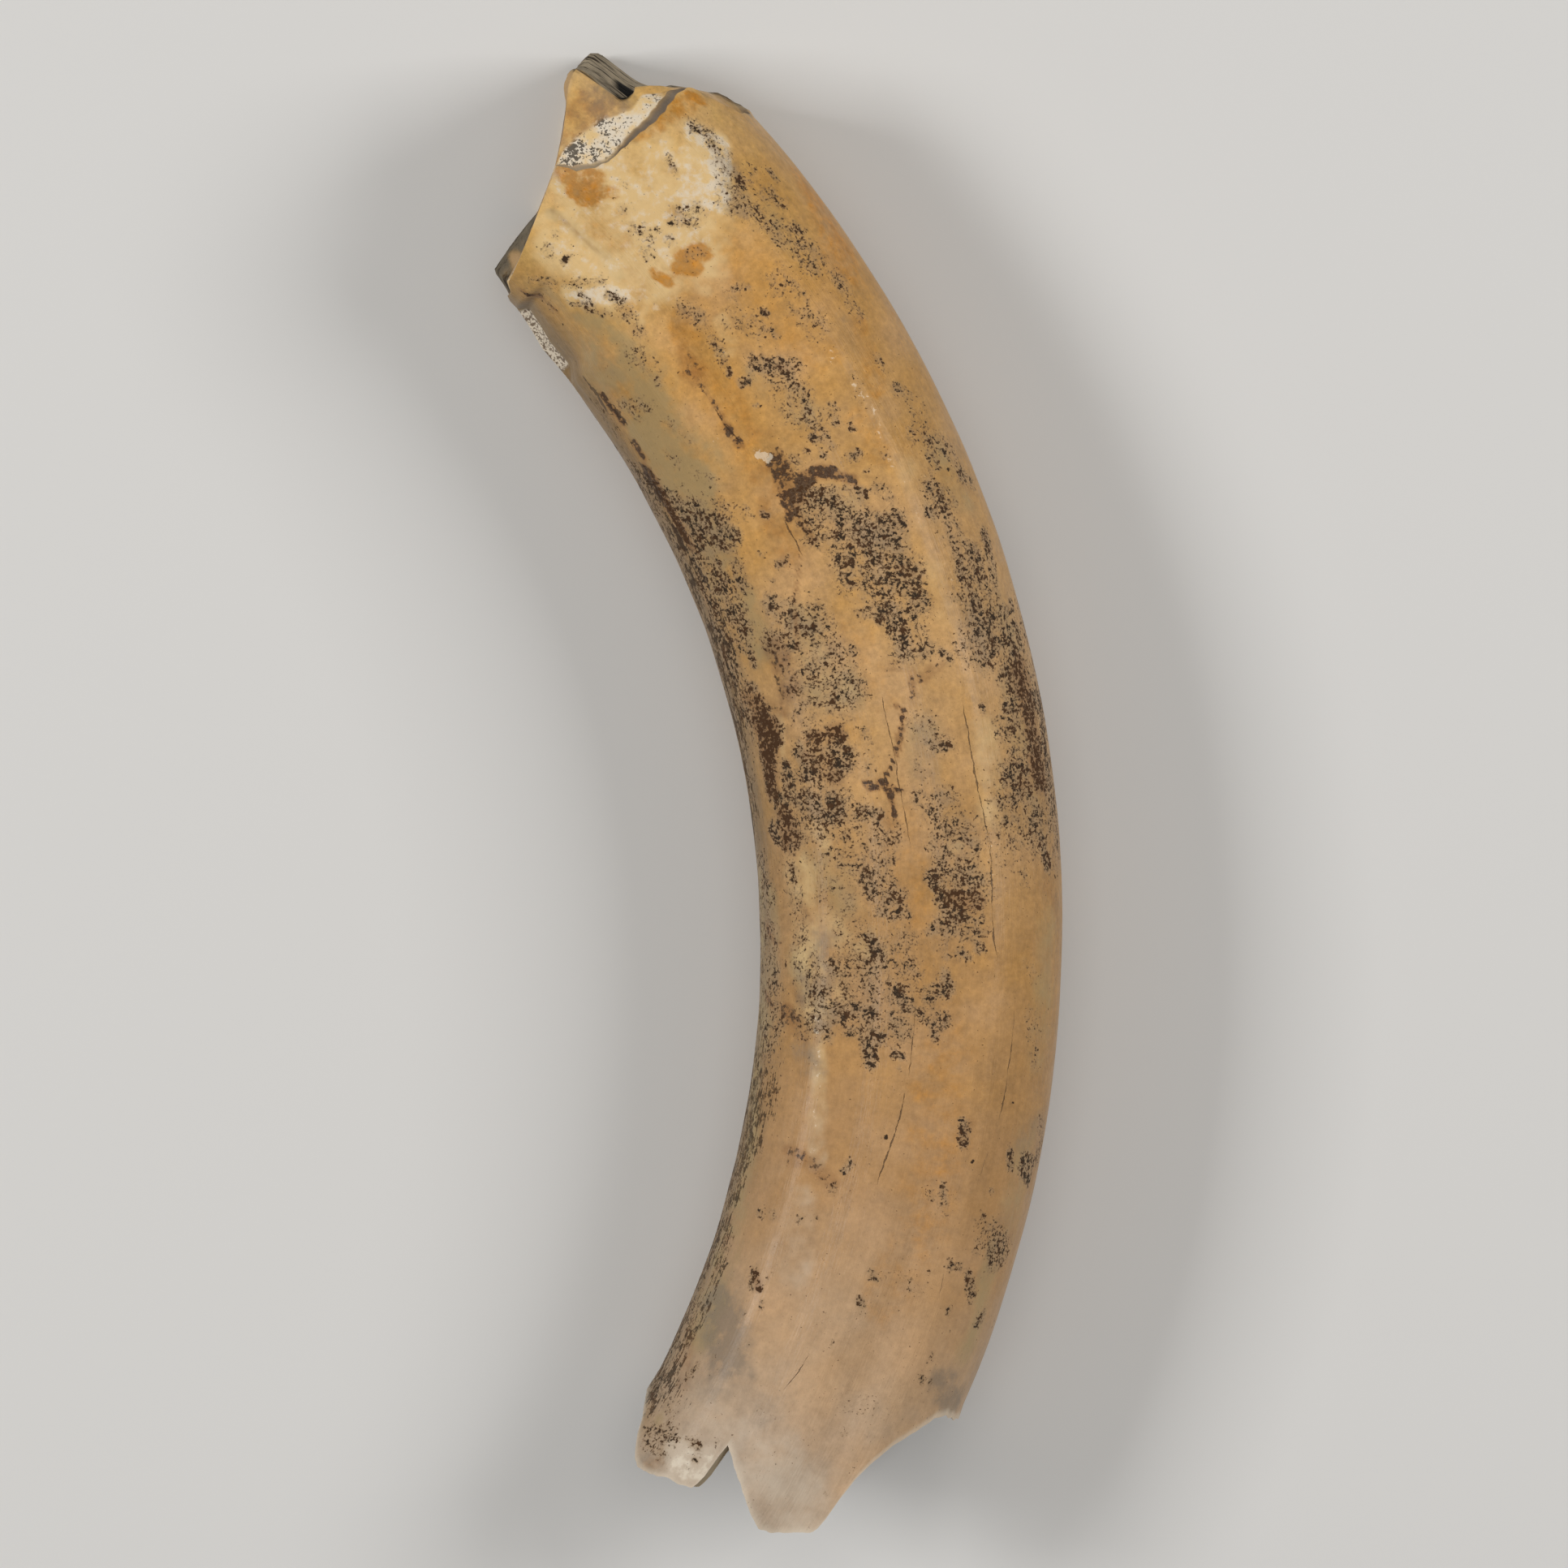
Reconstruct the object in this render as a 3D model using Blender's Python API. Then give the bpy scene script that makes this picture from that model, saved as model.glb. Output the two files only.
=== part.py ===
"""A fossil tooth of a giant ground sloth, lying on its side.

The tooth is one solid: a column bent along an arc, open and hollow at the root and broken at the
worn tip. It rests on its flattened underside. +Y points towards the tip, +X to the convex side
and +Z to the fluted face. All sizes are in millimetres until a point is placed, in metres.
"""

import math

import bmesh
import bpy

MM = 0.001

# The arc that the middle of the column follows, and where its centre lies
BEND_RADIUS = 116.2
BEND_CENTRE = (-101.9, -15.95)

# The column's section: half its width, and its height above and below its widest level
HALF_WIDTH = 16.5
HALF_WIDTH_GROWTH = 0.0096
HALF_WIDTH_FADE = -0.000039
FLUTED_HEIGHT = 14.0
UNDERSIDE_HEIGHT = 12.6
WIDEST_LEVEL = 12.0
SQUARENESS = 0.85

# Flutes of the upper face: place across the column, half breadth, height at the root, at the tip
FLUTES = (
    (-9.6, 1.7, 0.50, 0.35),
    (-4.8, 1.9, -0.40, -0.75),
    (0.0, 1.6, 0.20, 0.10),
    (4.6, 1.9, -0.45, -0.45),
    (9.3, 1.8, 0.35, 0.45),
)

# Where the level rings of the column start and end, measured along its middle
ROOT_LEVEL = -38.0
TIP_LEVEL = 80.0

# The broken rim of the open root, each point as (across, along), from concave to convex side
ROOT_RIM_UPPER = (
    (-15.8, -59.4), (-15.3, -61.0), (-14.7, -62.9), (-14.3, -64.8), (-13.2, -67.2),
    (-12.4, -67.9), (-10.8, -67.6), (-9.2, -66.9), (-7.6, -66.7), (-6.3, -66.3), (-5.9, -65.0),
    (-5.7, -62.6), (-5.5, -59.9), (-4.6, -60.7), (-2.9, -62.4), (-0.6, -64.3), (1.0, -65.5),
    (2.2, -66.1), (3.4, -65.8), (5.4, -64.6), (7.2, -63.6), (7.7, -62.6), (7.9, -59.7),
    (8.4, -56.7), (9.4, -54.0), (10.7, -51.6), (12.5, -49.1), (13.2, -48.0), (14.3, -47.4),
    (15.1, -47.5), (15.9, -47.3),
)
ROOT_RIM_UNDER = (
    (-15.8, -59.4), (-13.0, -57.5), (-9.5, -54.0), (-7.0, -54.8), (-3.0, -49.0), (1.0, -46.5),
    (3.5, -47.6), (8.0, -43.5), (12.0, -44.6), (15.9, -47.3),
)

# The pulp cavity: wall at the rim, where it ends along the column and how full its cone is
RIM_WALL = 1.7
RIM_BEVEL = 0.7
CAVITY_END = -20.0
CAVITY_FULLNESS = 1.9

# The tip's upper side, as lines of (across, along): the outer layer ends at a ledge of some width,
# a chalky band rises from it, and a smoother inner layer rises from that
OUTER_LAYER_EDGE = (
    (-15.4, 88.9), (-14.8, 90.2), (-7.1, 93.7), (-2.3, 95.7), (-1.6, 94.6), (-1.3, 93.7),
    (0.2, 92.6), (2.1, 91.7), (3.7, 91.4), (5.9, 91.1), (7.5, 90.9), (9.0, 90.8), (10.3, 90.9),
    (11.8, 91.1), (12.9, 91.2), (13.6, 91.1), (14.1, 90.6), (14.5, 89.4), (15.0, 88.1),
    (15.5, 86.9), (16.0, 85.9), (16.7, 85.2),
)
LEDGE_WIDTH = (
    (-2.3, 0.1), (-1.0, 0.7), (0.2, 0.5), (1.8, 0.2), (3.4, 0.2), (4.7, 0.45), (6.5, 0.65),
    (9.0, 0.9), (11.7, 0.9), (12.9, 0.5), (13.6, 0.2), (16.0, 0.2),
)
CHALK_BAND_EDGE = (
    (-15.4, 88.9), (-14.8, 90.2), (-2.3, 95.8), (-1.6, 96.1), (-0.5, 96.4), (0.7, 96.3),
    (1.9, 96.15), (2.9, 95.7), (3.6, 95.35), (4.5, 95.25), (5.3, 94.6), (6.2, 94.1), (7.0, 93.8),
    (7.7, 93.35), (8.9, 93.6), (9.7, 93.7), (10.5, 93.0), (11.6, 92.25), (12.4, 91.9),
    (13.2, 91.3), (14.9, 89.3), (16.9, 85.2),
)
INNER_LAYER_EDGE = (
    (-15.4, 88.9), (-14.8, 90.2), (-2.3, 95.9), (1.8, 98.2), (4.6, 99.6), (5.9, 100.1),
    (6.9, 100.3), (7.05, 99.2), (7.3, 97.6), (7.35, 96.5), (7.5, 95.7), (7.75, 95.0),
    (8.4, 94.5), (9.2, 94.4), (9.7, 94.75), (10.9, 93.85), (11.8, 93.0), (12.6, 92.0),
    (13.4, 91.4), (15.0, 89.5), (16.9, 85.3),
)

# The tip as a whole is a roof across the column: the worn face on the concave side, the break on
# the convex side
ROOF_LINE = (
    (-15.6, 88.2), (-14.8, 90.2), (-7.1, 93.75), (-2.0, 95.9), (1.8, 98.2), (4.6, 99.65),
    (5.9, 100.15), (7.1, 100.4), (8.2, 100.5), (8.9, 100.7), (9.6, 100.65), (10.0, 100.1),
    (10.15, 98.7), (10.2, 97.1), (10.3, 96.1), (10.5, 95.2), (11.0, 94.2), (11.8, 93.5),
    (12.3, 92.8), (13.6, 91.3), (14.9, 89.7), (15.8, 88.9), (16.2, 88.0), (16.4, 87.1),
    (16.8, 86.4), (16.9, 85.6),
)

# A flake stands out from the worn face on the lower side: how far, from place to place across
FLAKE = (
    (-15.7, 0.0), (-15.3, 1.1), (-15.05, 2.3), (-14.5, 2.15), (-13.5, 2.0), (-12.0, 1.7),
    (-10.5, 1.25), (-8.6, 0.6), (-7.1, 0.0),
)

# The break leans towards the concave side as it rises, from this height above the widest level
BREAK_LEAN = 2.9
BREAK_LEAN_LEVEL = -4.0
BREAK_LEAN_RISE = 16.0

# The small deep hole behind the lip of the inner layer: its place across, its height above the
# widest level, its half breadth, its half height and its depth
HOLE_ACROSS = 8.5
HOLE_RISE = 10.8
HOLE_HALF_BREADTH = 0.9
HOLE_HALF_HEIGHT = 1.7
HOLE_DEPTH = 3.2

# The worn face leans back at its upper side and is slightly hollow
WORN_TILT = 0.75
WORN_HOLLOW = 0.35

# The concave side draws in towards the tip: where that starts, over what length and how much
DRAW_IN_START = 81.0
DRAW_IN_LENGTH = 11.0
DRAW_IN_DEPTH = 1.5
DRAW_IN_HALF_TURN = 0.14

# The levels that stand for the two rims when a place across them is worked out
ROOT_END = -60.0
TIP_END = 90.0

# Rings of the broken tip, as a share of the section: the first three step up through the layers
TIP_RINGS = (
    0.964, 0.925, 0.904, 0.875, 0.84, 0.80, 0.755, 0.71, 0.66, 0.60, 0.52, 0.42, 0.28, 0.14, 0.0,
)

# How finely the surface is divided, and how much the sides crowd on the fluted face
SIDES = 72
SIDES_CROWDING = 0.045
CAVITY_STEPS = 10
ROOT_STEPS = 6
COLUMN_STEPS = 27
TIP_STEPS = 4

TOOTH_COLOUR = (0.44, 0.27, 0.12, 1.0)
TOOTH_ROUGHNESS = 0.55


def clear_scene():
    """Removes every object that the scene starts with."""
    for thing in list(bpy.data.objects):
        bpy.data.objects.remove(thing, do_unlink=True)


def on_line(line, across):
    """The height of a broken line of points at one place across the column."""
    if across <= line[0][0]:
        return line[0][1]
    for (left, low), (right, high) in zip(line, line[1:]):
        if across <= right:
            return low + (high - low) * (across - left) / (right - left)
    return line[-1][1]


def mix(first, second, share):
    """Goes straight from the first value to the second as share goes from 0 to 1."""
    return first + (second - first) * share


def eased(share):
    """A share held between 0 and 1, with a soft start and end."""
    held = min(max(share, 0.0), 1.0)
    return held * held * (3.0 - 2.0 * held)


def swell(distance, half_breadth):
    """A soft bump, 1 at its middle and near 0 at twice its half breadth."""
    return math.exp(-((distance / half_breadth) ** 2))


def half_width(along):
    """Half the column's width, which grows slightly from the root to the tip."""
    return HALF_WIDTH + HALF_WIDTH_GROWTH * along + HALF_WIDTH_FADE * along * along


def squared(value):
    """Pushes a sine or cosine outwards, which squares the section's corners."""
    return math.copysign(abs(value) ** SQUARENESS, value)


def flute_height(across, along):
    """The rise or dip of the fluted face at a place across and along the column."""
    towards_tip = eased((along - ROOT_LEVEL) / (TIP_LEVEL - ROOT_LEVEL))
    return sum(
        mix(at_root, at_tip, towards_tip) * swell(across - middle, breadth)
        for middle, breadth, at_root, at_tip in FLUTES
    )


def draw_in(turn, along):
    """How far the concave side is set in near the tip."""
    lengthwise = min(max((along - DRAW_IN_START) / DRAW_IN_LENGTH, 0.0), 1.0)
    around = eased((DRAW_IN_HALF_TURN - abs(turn - 0.5)) / DRAW_IN_HALF_TURN)
    return DRAW_IN_DEPTH * lengthwise * around


def section_point(turn, along, share=1.0):
    """A place on the section, as (across, height): turn 0 is the convex side, 0.25 the top."""
    angle = 2.0 * math.pi * turn
    width = half_width(along) - draw_in(turn, along)
    across = share * width * squared(math.cos(angle))
    rise = share * squared(math.sin(angle))
    if rise > 0.0:
        fluting = share * eased(rise) * flute_height(across / max(share, 0.01), along)
        return across, WIDEST_LEVEL + rise * FLUTED_HEIGHT + fluting
    return across, max(WIDEST_LEVEL + rise * UNDERSIDE_HEIGHT, 0.0)


def bent(across, along, height):
    """Places a point of the straight column on the arc, in metres."""
    angle = along / BEND_RADIUS
    radius = BEND_RADIUS + across
    x = BEND_CENTRE[0] + radius * math.cos(angle)
    y = BEND_CENTRE[1] + radius * math.sin(angle)
    return x * MM, y * MM, height * MM


def root_rim(turn):
    """Where the wall of the open root ends at one place around it."""
    across, height = section_point(turn, ROOT_END)
    line = ROOT_RIM_UPPER if height > WIDEST_LEVEL else ROOT_RIM_UNDER
    return on_line(line, across)


def worn_tilt(across, rise):
    """How far the worn face stands back at the upper side."""
    return WORN_TILT * eased((rise + 2.0) / 15.0) * eased((6.0 - across) / 6.0)


def broken_tip(across, rise, share):
    """How far the tip reaches at a place of the section, apart from its upper layers."""
    leaning = BREAK_LEAN * eased((rise - BREAK_LEAN_LEVEL) / BREAK_LEAN_RISE)
    on_break = eased((across - 3.0) / 3.0) * eased((12.8 - across) / 3.0)
    reach = on_line(ROOF_LINE, across + leaning * on_break)
    reach += on_line(FLAKE, across) * eased((-1.2 - rise) / 1.4)
    hole_across = swell(across - HOLE_ACROSS, HOLE_HALF_BREADTH)
    reach -= HOLE_DEPTH * hole_across * swell(rise - HOLE_RISE, HOLE_HALF_HEIGHT)
    reach -= WORN_HOLLOW * eased((5.0 - across) / 6.0) * eased((1.0 - share) * 3.0)
    return reach - worn_tilt(across, rise)


def upper_side(rise):
    """How much a place on the rim belongs to the layered upper side."""
    return eased((rise - 1.5) / 2.0)


def tip_rim(turn):
    """Where the outer surface ends at the tip at one place around it."""
    across, height = section_point(turn, TIP_END)
    rise = height - WIDEST_LEVEL
    ledge = on_line(OUTER_LAYER_EDGE, across) - worn_tilt(across, rise)
    return mix(broken_tip(across, rise, 1.0), ledge, upper_side(rise))


def cavity_point(turn, step):
    """A point of the pulp cavity's wall: step 0 is its blind end, CAVITY_STEPS its rim."""
    share = step / CAVITY_STEPS
    along = mix(CAVITY_END, root_rim(turn) + RIM_BEVEL, share)
    rim_share = 1.0 - RIM_WALL / HALF_WIDTH
    opening = rim_share * (1.0 - (1.0 - share) ** CAVITY_FULLNESS) ** (1.0 / CAVITY_FULLNESS)
    angle = 2.0 * math.pi * turn
    across = opening * half_width(along) * squared(math.cos(angle))
    rise = opening * squared(math.sin(angle))
    height = WIDEST_LEVEL + rise * (FLUTED_HEIGHT if rise > 0.0 else WIDEST_LEVEL)
    return bent(across, along, height)


def outside_point(turn, step):
    """A point of the outer surface: step 0 is the root's rim, the last step is the tip's."""
    if step < ROOT_STEPS:
        along = mix(root_rim(turn), ROOT_LEVEL, step / ROOT_STEPS)
    elif step < ROOT_STEPS + COLUMN_STEPS:
        along = mix(ROOT_LEVEL, TIP_LEVEL, (step - ROOT_STEPS) / COLUMN_STEPS)
    else:
        along = mix(TIP_LEVEL, tip_rim(turn), (step - ROOT_STEPS - COLUMN_STEPS) / TIP_STEPS)
    across, height = section_point(turn, along)
    return bent(across, along, height)


def tip_point(turn, ring):
    """A point of the broken tip on one of its rings, from the rim inwards."""
    share = TIP_RINGS[ring]
    across, height = section_point(turn, TIP_END, share)
    rise = height - WIDEST_LEVEL
    reach = broken_tip(across, rise, share)
    ledge_foot = tip_rim(turn) + on_line(LEDGE_WIDTH, across)
    layered = reach
    if ring == 0:
        layered = ledge_foot
    elif ring == 1:
        layered = max(ledge_foot, on_line(CHALK_BAND_EDGE, across) - worn_tilt(across, rise))
    elif ring == 2:
        layered = max(ledge_foot, on_line(INNER_LAYER_EDGE, across) - worn_tilt(across, rise))
    rim_height = section_point(turn, TIP_END)[1]
    return bent(across, mix(reach, layered, upper_side(rim_height - WIDEST_LEVEL)), height)


def surface_rows():
    """Lists the rows of the whole skin, from the cavity's blind end to the middle of the tip."""
    outside_steps = ROOT_STEPS + COLUMN_STEPS + TIP_STEPS
    rows = [(cavity_point, step) for step in range(CAVITY_STEPS + 1)]
    rows += [(outside_point, step) for step in range(outside_steps + 1)]
    rows += [(tip_point, ring) for ring in range(len(TIP_RINGS))]
    return rows


def tooth_mesh():
    """Rolls a flat grid up into the closed skin of the tooth."""
    rows = surface_rows()
    skin = bmesh.new()
    bmesh.ops.create_grid(skin, x_segments=SIDES, y_segments=len(rows) - 1, size=0.5)
    for corner in skin.verts:
        side = corner.co.x + 0.5
        turn = (side + SIDES_CROWDING * math.cos(2.0 * math.pi * side)) % 1.0
        row = round((corner.co.y + 0.5) * (len(rows) - 1))
        place, step = rows[row]
        corner.co = place(turn, step)
    bmesh.ops.remove_doubles(skin, verts=skin.verts, dist=0.001 * MM)
    bmesh.ops.triangulate(skin, faces=skin.faces, quad_method="SHORT_EDGE")
    bmesh.ops.recalc_face_normals(skin, faces=skin.faces)
    mesh = bpy.data.meshes.new("tooth")
    skin.to_mesh(mesh)
    skin.free()
    return mesh


def tooth_material():
    """A warm tan, half gloss, as polished fossil dentine has."""
    material = bpy.data.materials.new("fossil_dentine")
    material.use_nodes = True
    shader = material.node_tree.nodes["Principled BSDF"]
    shader.inputs["Base Color"].default_value = TOOTH_COLOUR
    shader.inputs["Roughness"].default_value = TOOTH_ROUGHNESS
    shader.inputs["Metallic"].default_value = 0.0
    return material


def build():
    """Makes the tooth and puts it in its own collection."""
    clear_scene()
    collection = bpy.data.collections.new("fossil_tooth")
    bpy.context.scene.collection.children.link(collection)
    mesh = tooth_mesh()
    mesh.materials.append(tooth_material())
    mesh.shade_smooth()
    mesh.set_sharp_from_angle(angle=math.radians(40.0))
    tooth = bpy.data.objects.new("tooth", mesh)
    collection.objects.link(tooth)


build()
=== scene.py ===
# %% [markdown]
# # A fossil tooth of a giant ground sloth
#
# The real tooth is one curved column, 160 mm from end to end. It has a fluted face, a tip that is
# partly worn flat and partly broken through its layers, and an open, thin-walled root with a
# jagged rim. Here it lies on its side and the camera looks straight down on it.
#
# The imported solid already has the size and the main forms. This lesson makes the fine skin that
# stands for it, in the same frame, and then its stains, cracks and light.

# %% Load the frame
import math

import bmesh
import bpy
import numpy as np
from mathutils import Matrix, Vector, noise


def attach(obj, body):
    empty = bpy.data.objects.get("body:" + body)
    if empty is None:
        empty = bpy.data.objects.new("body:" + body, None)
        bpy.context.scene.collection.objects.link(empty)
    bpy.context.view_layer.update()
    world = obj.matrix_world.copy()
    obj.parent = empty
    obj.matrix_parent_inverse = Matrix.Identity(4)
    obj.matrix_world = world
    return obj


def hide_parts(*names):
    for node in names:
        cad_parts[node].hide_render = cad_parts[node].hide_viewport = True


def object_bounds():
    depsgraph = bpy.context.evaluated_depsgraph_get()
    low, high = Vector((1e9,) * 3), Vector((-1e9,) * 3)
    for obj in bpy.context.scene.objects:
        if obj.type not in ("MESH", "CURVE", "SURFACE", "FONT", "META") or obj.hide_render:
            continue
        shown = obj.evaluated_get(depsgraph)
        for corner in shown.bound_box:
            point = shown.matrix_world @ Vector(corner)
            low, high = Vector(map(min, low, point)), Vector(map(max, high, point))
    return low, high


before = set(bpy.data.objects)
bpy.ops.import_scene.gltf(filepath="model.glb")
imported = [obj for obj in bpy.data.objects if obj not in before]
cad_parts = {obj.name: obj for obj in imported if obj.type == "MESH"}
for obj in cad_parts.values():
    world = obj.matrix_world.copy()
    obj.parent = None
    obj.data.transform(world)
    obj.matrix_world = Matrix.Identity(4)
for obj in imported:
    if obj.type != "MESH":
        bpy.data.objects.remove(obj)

cad_low, cad_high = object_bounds()
print("solid from", tuple(cad_low), "to", tuple(cad_high))

# %% [markdown]
# ## Places on a bent tooth
#
# A place on the tooth is easiest to give as if the column were straight: how far across it, how
# far along it, and how high. A place read from the photograph is turned into the same two numbers,
# so that a stain or a crack can be given where it is seen. All lengths here are in millimetres.

# %% Straight places and bent ones
MM = 0.001
BEND_RADIUS = 116.2
BEND_CENTRE = (-101.9, -15.95)
PHOTO_MM = 160.0 / 1818.0
PHOTO_MIDDLE = (960.0, 972.0)


def bent(across, along, height):
    """Places points of the straight column on the arc, in metres."""
    angle = along / BEND_RADIUS
    radius = BEND_RADIUS + across
    x = BEND_CENTRE[0] + radius * np.cos(angle)
    y = BEND_CENTRE[1] + radius * np.sin(angle)
    return np.stack(np.broadcast_arrays(x * MM, y * MM, height * MM), axis=-1)


def seen_at(pixel_x, pixel_y):
    """The place (across, along) under a pixel of the photograph."""
    x = (pixel_x - PHOTO_MIDDLE[0]) * PHOTO_MM - BEND_CENTRE[0]
    y = (PHOTO_MIDDLE[1] - pixel_y) * PHOTO_MM - BEND_CENTRE[1]
    return np.hypot(x, y) - BEND_RADIUS, np.arctan2(y, x) * BEND_RADIUS


print("the photo's middle lies at", seen_at(*PHOTO_MIDDLE))

# %% [markdown]
# ## Small sums used all over
#
# Soft steps and soft bumps shape every ledge and flute, and a smooth random field breaks up what
# would look machined. The field is Blender's own noise, so it is the same on each run.

# %% Steps, bumps and noise


def on_line(line, across):
    """The height of a broken line of points, at places across the column."""
    places, heights = zip(*line)
    return np.interp(across, places, heights)


def eased(share):
    """A share held between 0 and 1, with a soft start and end."""
    held = np.clip(share, 0.0, 1.0)
    return held * held * (3.0 - 2.0 * held)


def past(value, start, width):
    """Rises softly from 0 to 1 over a width, from where the value passes its start."""
    return eased((value - start) / width)


def short_of(value, end, width):
    """Falls softly from 1 to 0 over a width, down to where the value reaches its end."""
    return eased((end - value) / width)


def swell(distance, half_breadth):
    """A soft bump, 1 at its middle."""
    return np.exp(-((distance / half_breadth) ** 2))


def mix(first, second, share):
    """Goes straight from the first value to the second."""
    return first + (second - first) * share


def rough(places, size, seed=0.0):
    """Smooth noise of about -1 to 1 at an array of places, with lumps of the given size."""
    flat = places.reshape(-1, 3) / size + seed
    field = np.fromiter((noise.noise(Vector(p)) for p in flat), float, len(flat))
    return field.reshape(places.shape[:-1])


print("soft step at a quarter:", eased(np.float64(0.25)))

# %% [markdown]
# ## The column's section
#
# Cut across, the tooth is a rounded block, 33 mm wide and 26 mm thick, with shallow flutes along
# its upper face. The section is a circle whose sine and cosine are pushed outwards, which squares
# its corners, and the flutes are soft bumps and dips added to its upper half.

# %% Section and flutes
HALF_WIDTH = 16.5
HALF_WIDTH_GROWTH = 0.0096
HALF_WIDTH_FADE = -0.000039
FLUTED_HEIGHT = 14.0
UNDERSIDE_HEIGHT = 12.6
WIDEST_LEVEL = 12.0
SQUARENESS = 0.85
ROOT_LEVEL = -38.0
TIP_LEVEL = 80.0
ROOT_END = -60.0
TIP_END = 90.0

# Place across, half breadth, height at the root and height at the tip
FLUTES = (
    (-9.6, 1.7, 0.50, 0.35),
    (-4.8, 1.9, -0.40, -0.75),
    (0.0, 1.6, 0.20, 0.10),
    (4.6, 1.9, -0.45, -0.45),
    (9.3, 1.8, 0.35, 0.45),
)

DRAW_IN_START = 81.0
DRAW_IN_LENGTH = 11.0
DRAW_IN_DEPTH = 1.5
DRAW_IN_HALF_TURN = 0.14


def squared(value):
    """Pushes a sine or cosine outwards."""
    return np.sign(value) * np.abs(value) ** SQUARENESS


def half_width(along):
    """Half the column's width, which grows slightly from the root to the tip."""
    return HALF_WIDTH + HALF_WIDTH_GROWTH * along + HALF_WIDTH_FADE * along * along


def flute_height(across, along):
    """The rise or dip of the fluted face."""
    towards_tip = past(along, ROOT_LEVEL, TIP_LEVEL - ROOT_LEVEL)
    return sum(
        mix(at_root, at_tip, towards_tip) * swell(across - middle, breadth)
        for middle, breadth, at_root, at_tip in FLUTES
    )


def draw_in(turn, along):
    """How far the concave side is set in near the tip."""
    lengthwise = np.clip((along - DRAW_IN_START) / DRAW_IN_LENGTH, 0.0, 1.0)
    return DRAW_IN_DEPTH * lengthwise * eased(1.0 - np.abs(turn - 0.5) / DRAW_IN_HALF_TURN)


def section(turn, along, share=1.0):
    """Places on the section, as (across, height): turn 0 is the convex side, 0.25 the top."""
    angle = 2.0 * math.pi * turn
    across = share * (half_width(along) - draw_in(turn, along)) * squared(np.cos(angle))
    rise = share * squared(np.sin(angle))
    fluting = share * eased(rise) * flute_height(across / max(share, 0.01), along)
    above = WIDEST_LEVEL + rise * FLUTED_HEIGHT + fluting
    below = np.maximum(WIDEST_LEVEL + rise * UNDERSIDE_HEIGHT, 0.0)
    return across, np.where(rise > 0.0, above, below)


print("section at the middle is", 2.0 * half_width(0.0), "mm wide")

# %% [markdown]
# ## The open root
#
# The root ends in a thin wall that has splintered along the fibres of the tooth, so its rim has
# two tongues with a narrow notch between them. The far wall has broken off further up and stays
# hidden. The rim is a short list of corner points, and each line of the skin ends where it meets
# that list. A little noise makes the edge crumbly.

# %% Root rim and pulp cavity
ROOT_RIM_UPPER = (
    (-15.8, -59.4), (-15.3, -61.0), (-14.7, -62.9), (-14.3, -64.8), (-13.2, -67.2),
    (-12.4, -67.9), (-10.8, -67.6), (-9.2, -66.9), (-7.6, -66.7), (-6.3, -66.3), (-5.9, -65.0),
    (-5.7, -62.6), (-5.5, -59.9), (-4.6, -60.7), (-2.9, -62.4), (-0.6, -64.3), (1.0, -65.5),
    (2.2, -66.1), (3.4, -65.8), (5.4, -64.6), (7.2, -63.6), (7.7, -62.6), (7.9, -59.7),
    (8.4, -56.7), (9.4, -54.0), (10.7, -51.6), (12.5, -49.1), (13.2, -48.0), (14.3, -47.4),
    (15.1, -47.5), (15.9, -47.3),
)
ROOT_RIM_UNDER = (
    (-15.8, -59.4), (-13.0, -57.5), (-9.5, -54.0), (-7.0, -54.8), (-3.0, -49.0), (1.0, -46.5),
    (3.5, -47.6), (8.0, -43.5), (12.0, -44.6), (15.9, -47.3),
)
RIM_WALL = 1.7
CAVITY_END = -20.0
CAVITY_FULLNESS = 1.9
RIM_CRUMBLE = 0.22
RIM_CRUMB_SIZE = 0.9
WALL_DISH = 0.5
WALL_CROWN = 0.35
WALL_ROUGHNESS = 0.25
WALL_CRUMB_SIZE = 0.7


def root_rim(turn):
    """Where the wall of the open root ends, round the section."""
    across, height = section(turn, ROOT_END)
    upper = on_line(ROOT_RIM_UPPER, across)
    under = on_line(ROOT_RIM_UNDER, across)
    rim = np.where(height > WIDEST_LEVEL, upper, under)
    crumbs = rough(np.stack([across, height, 0.0 * across], axis=-1), RIM_CRUMB_SIZE, seed=4.0)
    return rim + RIM_CRUMBLE * crumbs


def wall_row(turn, share):
    """The broken face of the root's wall: share 0 is its inner edge, 1 its outer edge."""
    rim = root_rim(turn)
    width_left = 1.0 - RIM_WALL / HALF_WIDTH * (1.0 - share)
    across, height = section(turn, ROOT_END, width_left)
    crown = math.sin(math.pi * share)
    dish = WALL_DISH * (1.0 - share) ** 2 + WALL_CROWN * crown
    ragged = WALL_ROUGHNESS * rough(np.stack([across, height, rim], axis=-1), WALL_CRUMB_SIZE, seed=9.0)
    return across, rim + dish + ragged * crown, height


def cavity_row(turn, share):
    """The pulp cavity's wall: share 0 is its blind end, 1 its edge at the rim."""
    along = mix(CAVITY_END, wall_row(turn, 0.0)[1], share)
    opened = (1.0 - (1.0 - share) ** CAVITY_FULLNESS) ** (1.0 / CAVITY_FULLNESS)
    opening = (1.0 - RIM_WALL / HALF_WIDTH) * opened
    angle = 2.0 * math.pi * turn
    rise = opening * squared(np.sin(angle))
    across = opening * half_width(ROOT_END) * squared(np.cos(angle))
    height = WIDEST_LEVEL + rise * np.where(rise > 0.0, FLUTED_HEIGHT, WIDEST_LEVEL)
    return across, along, height


print("root rim reaches", float(root_rim(np.linspace(0.0, 1.0, 400)).min()), "mm along")

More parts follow.
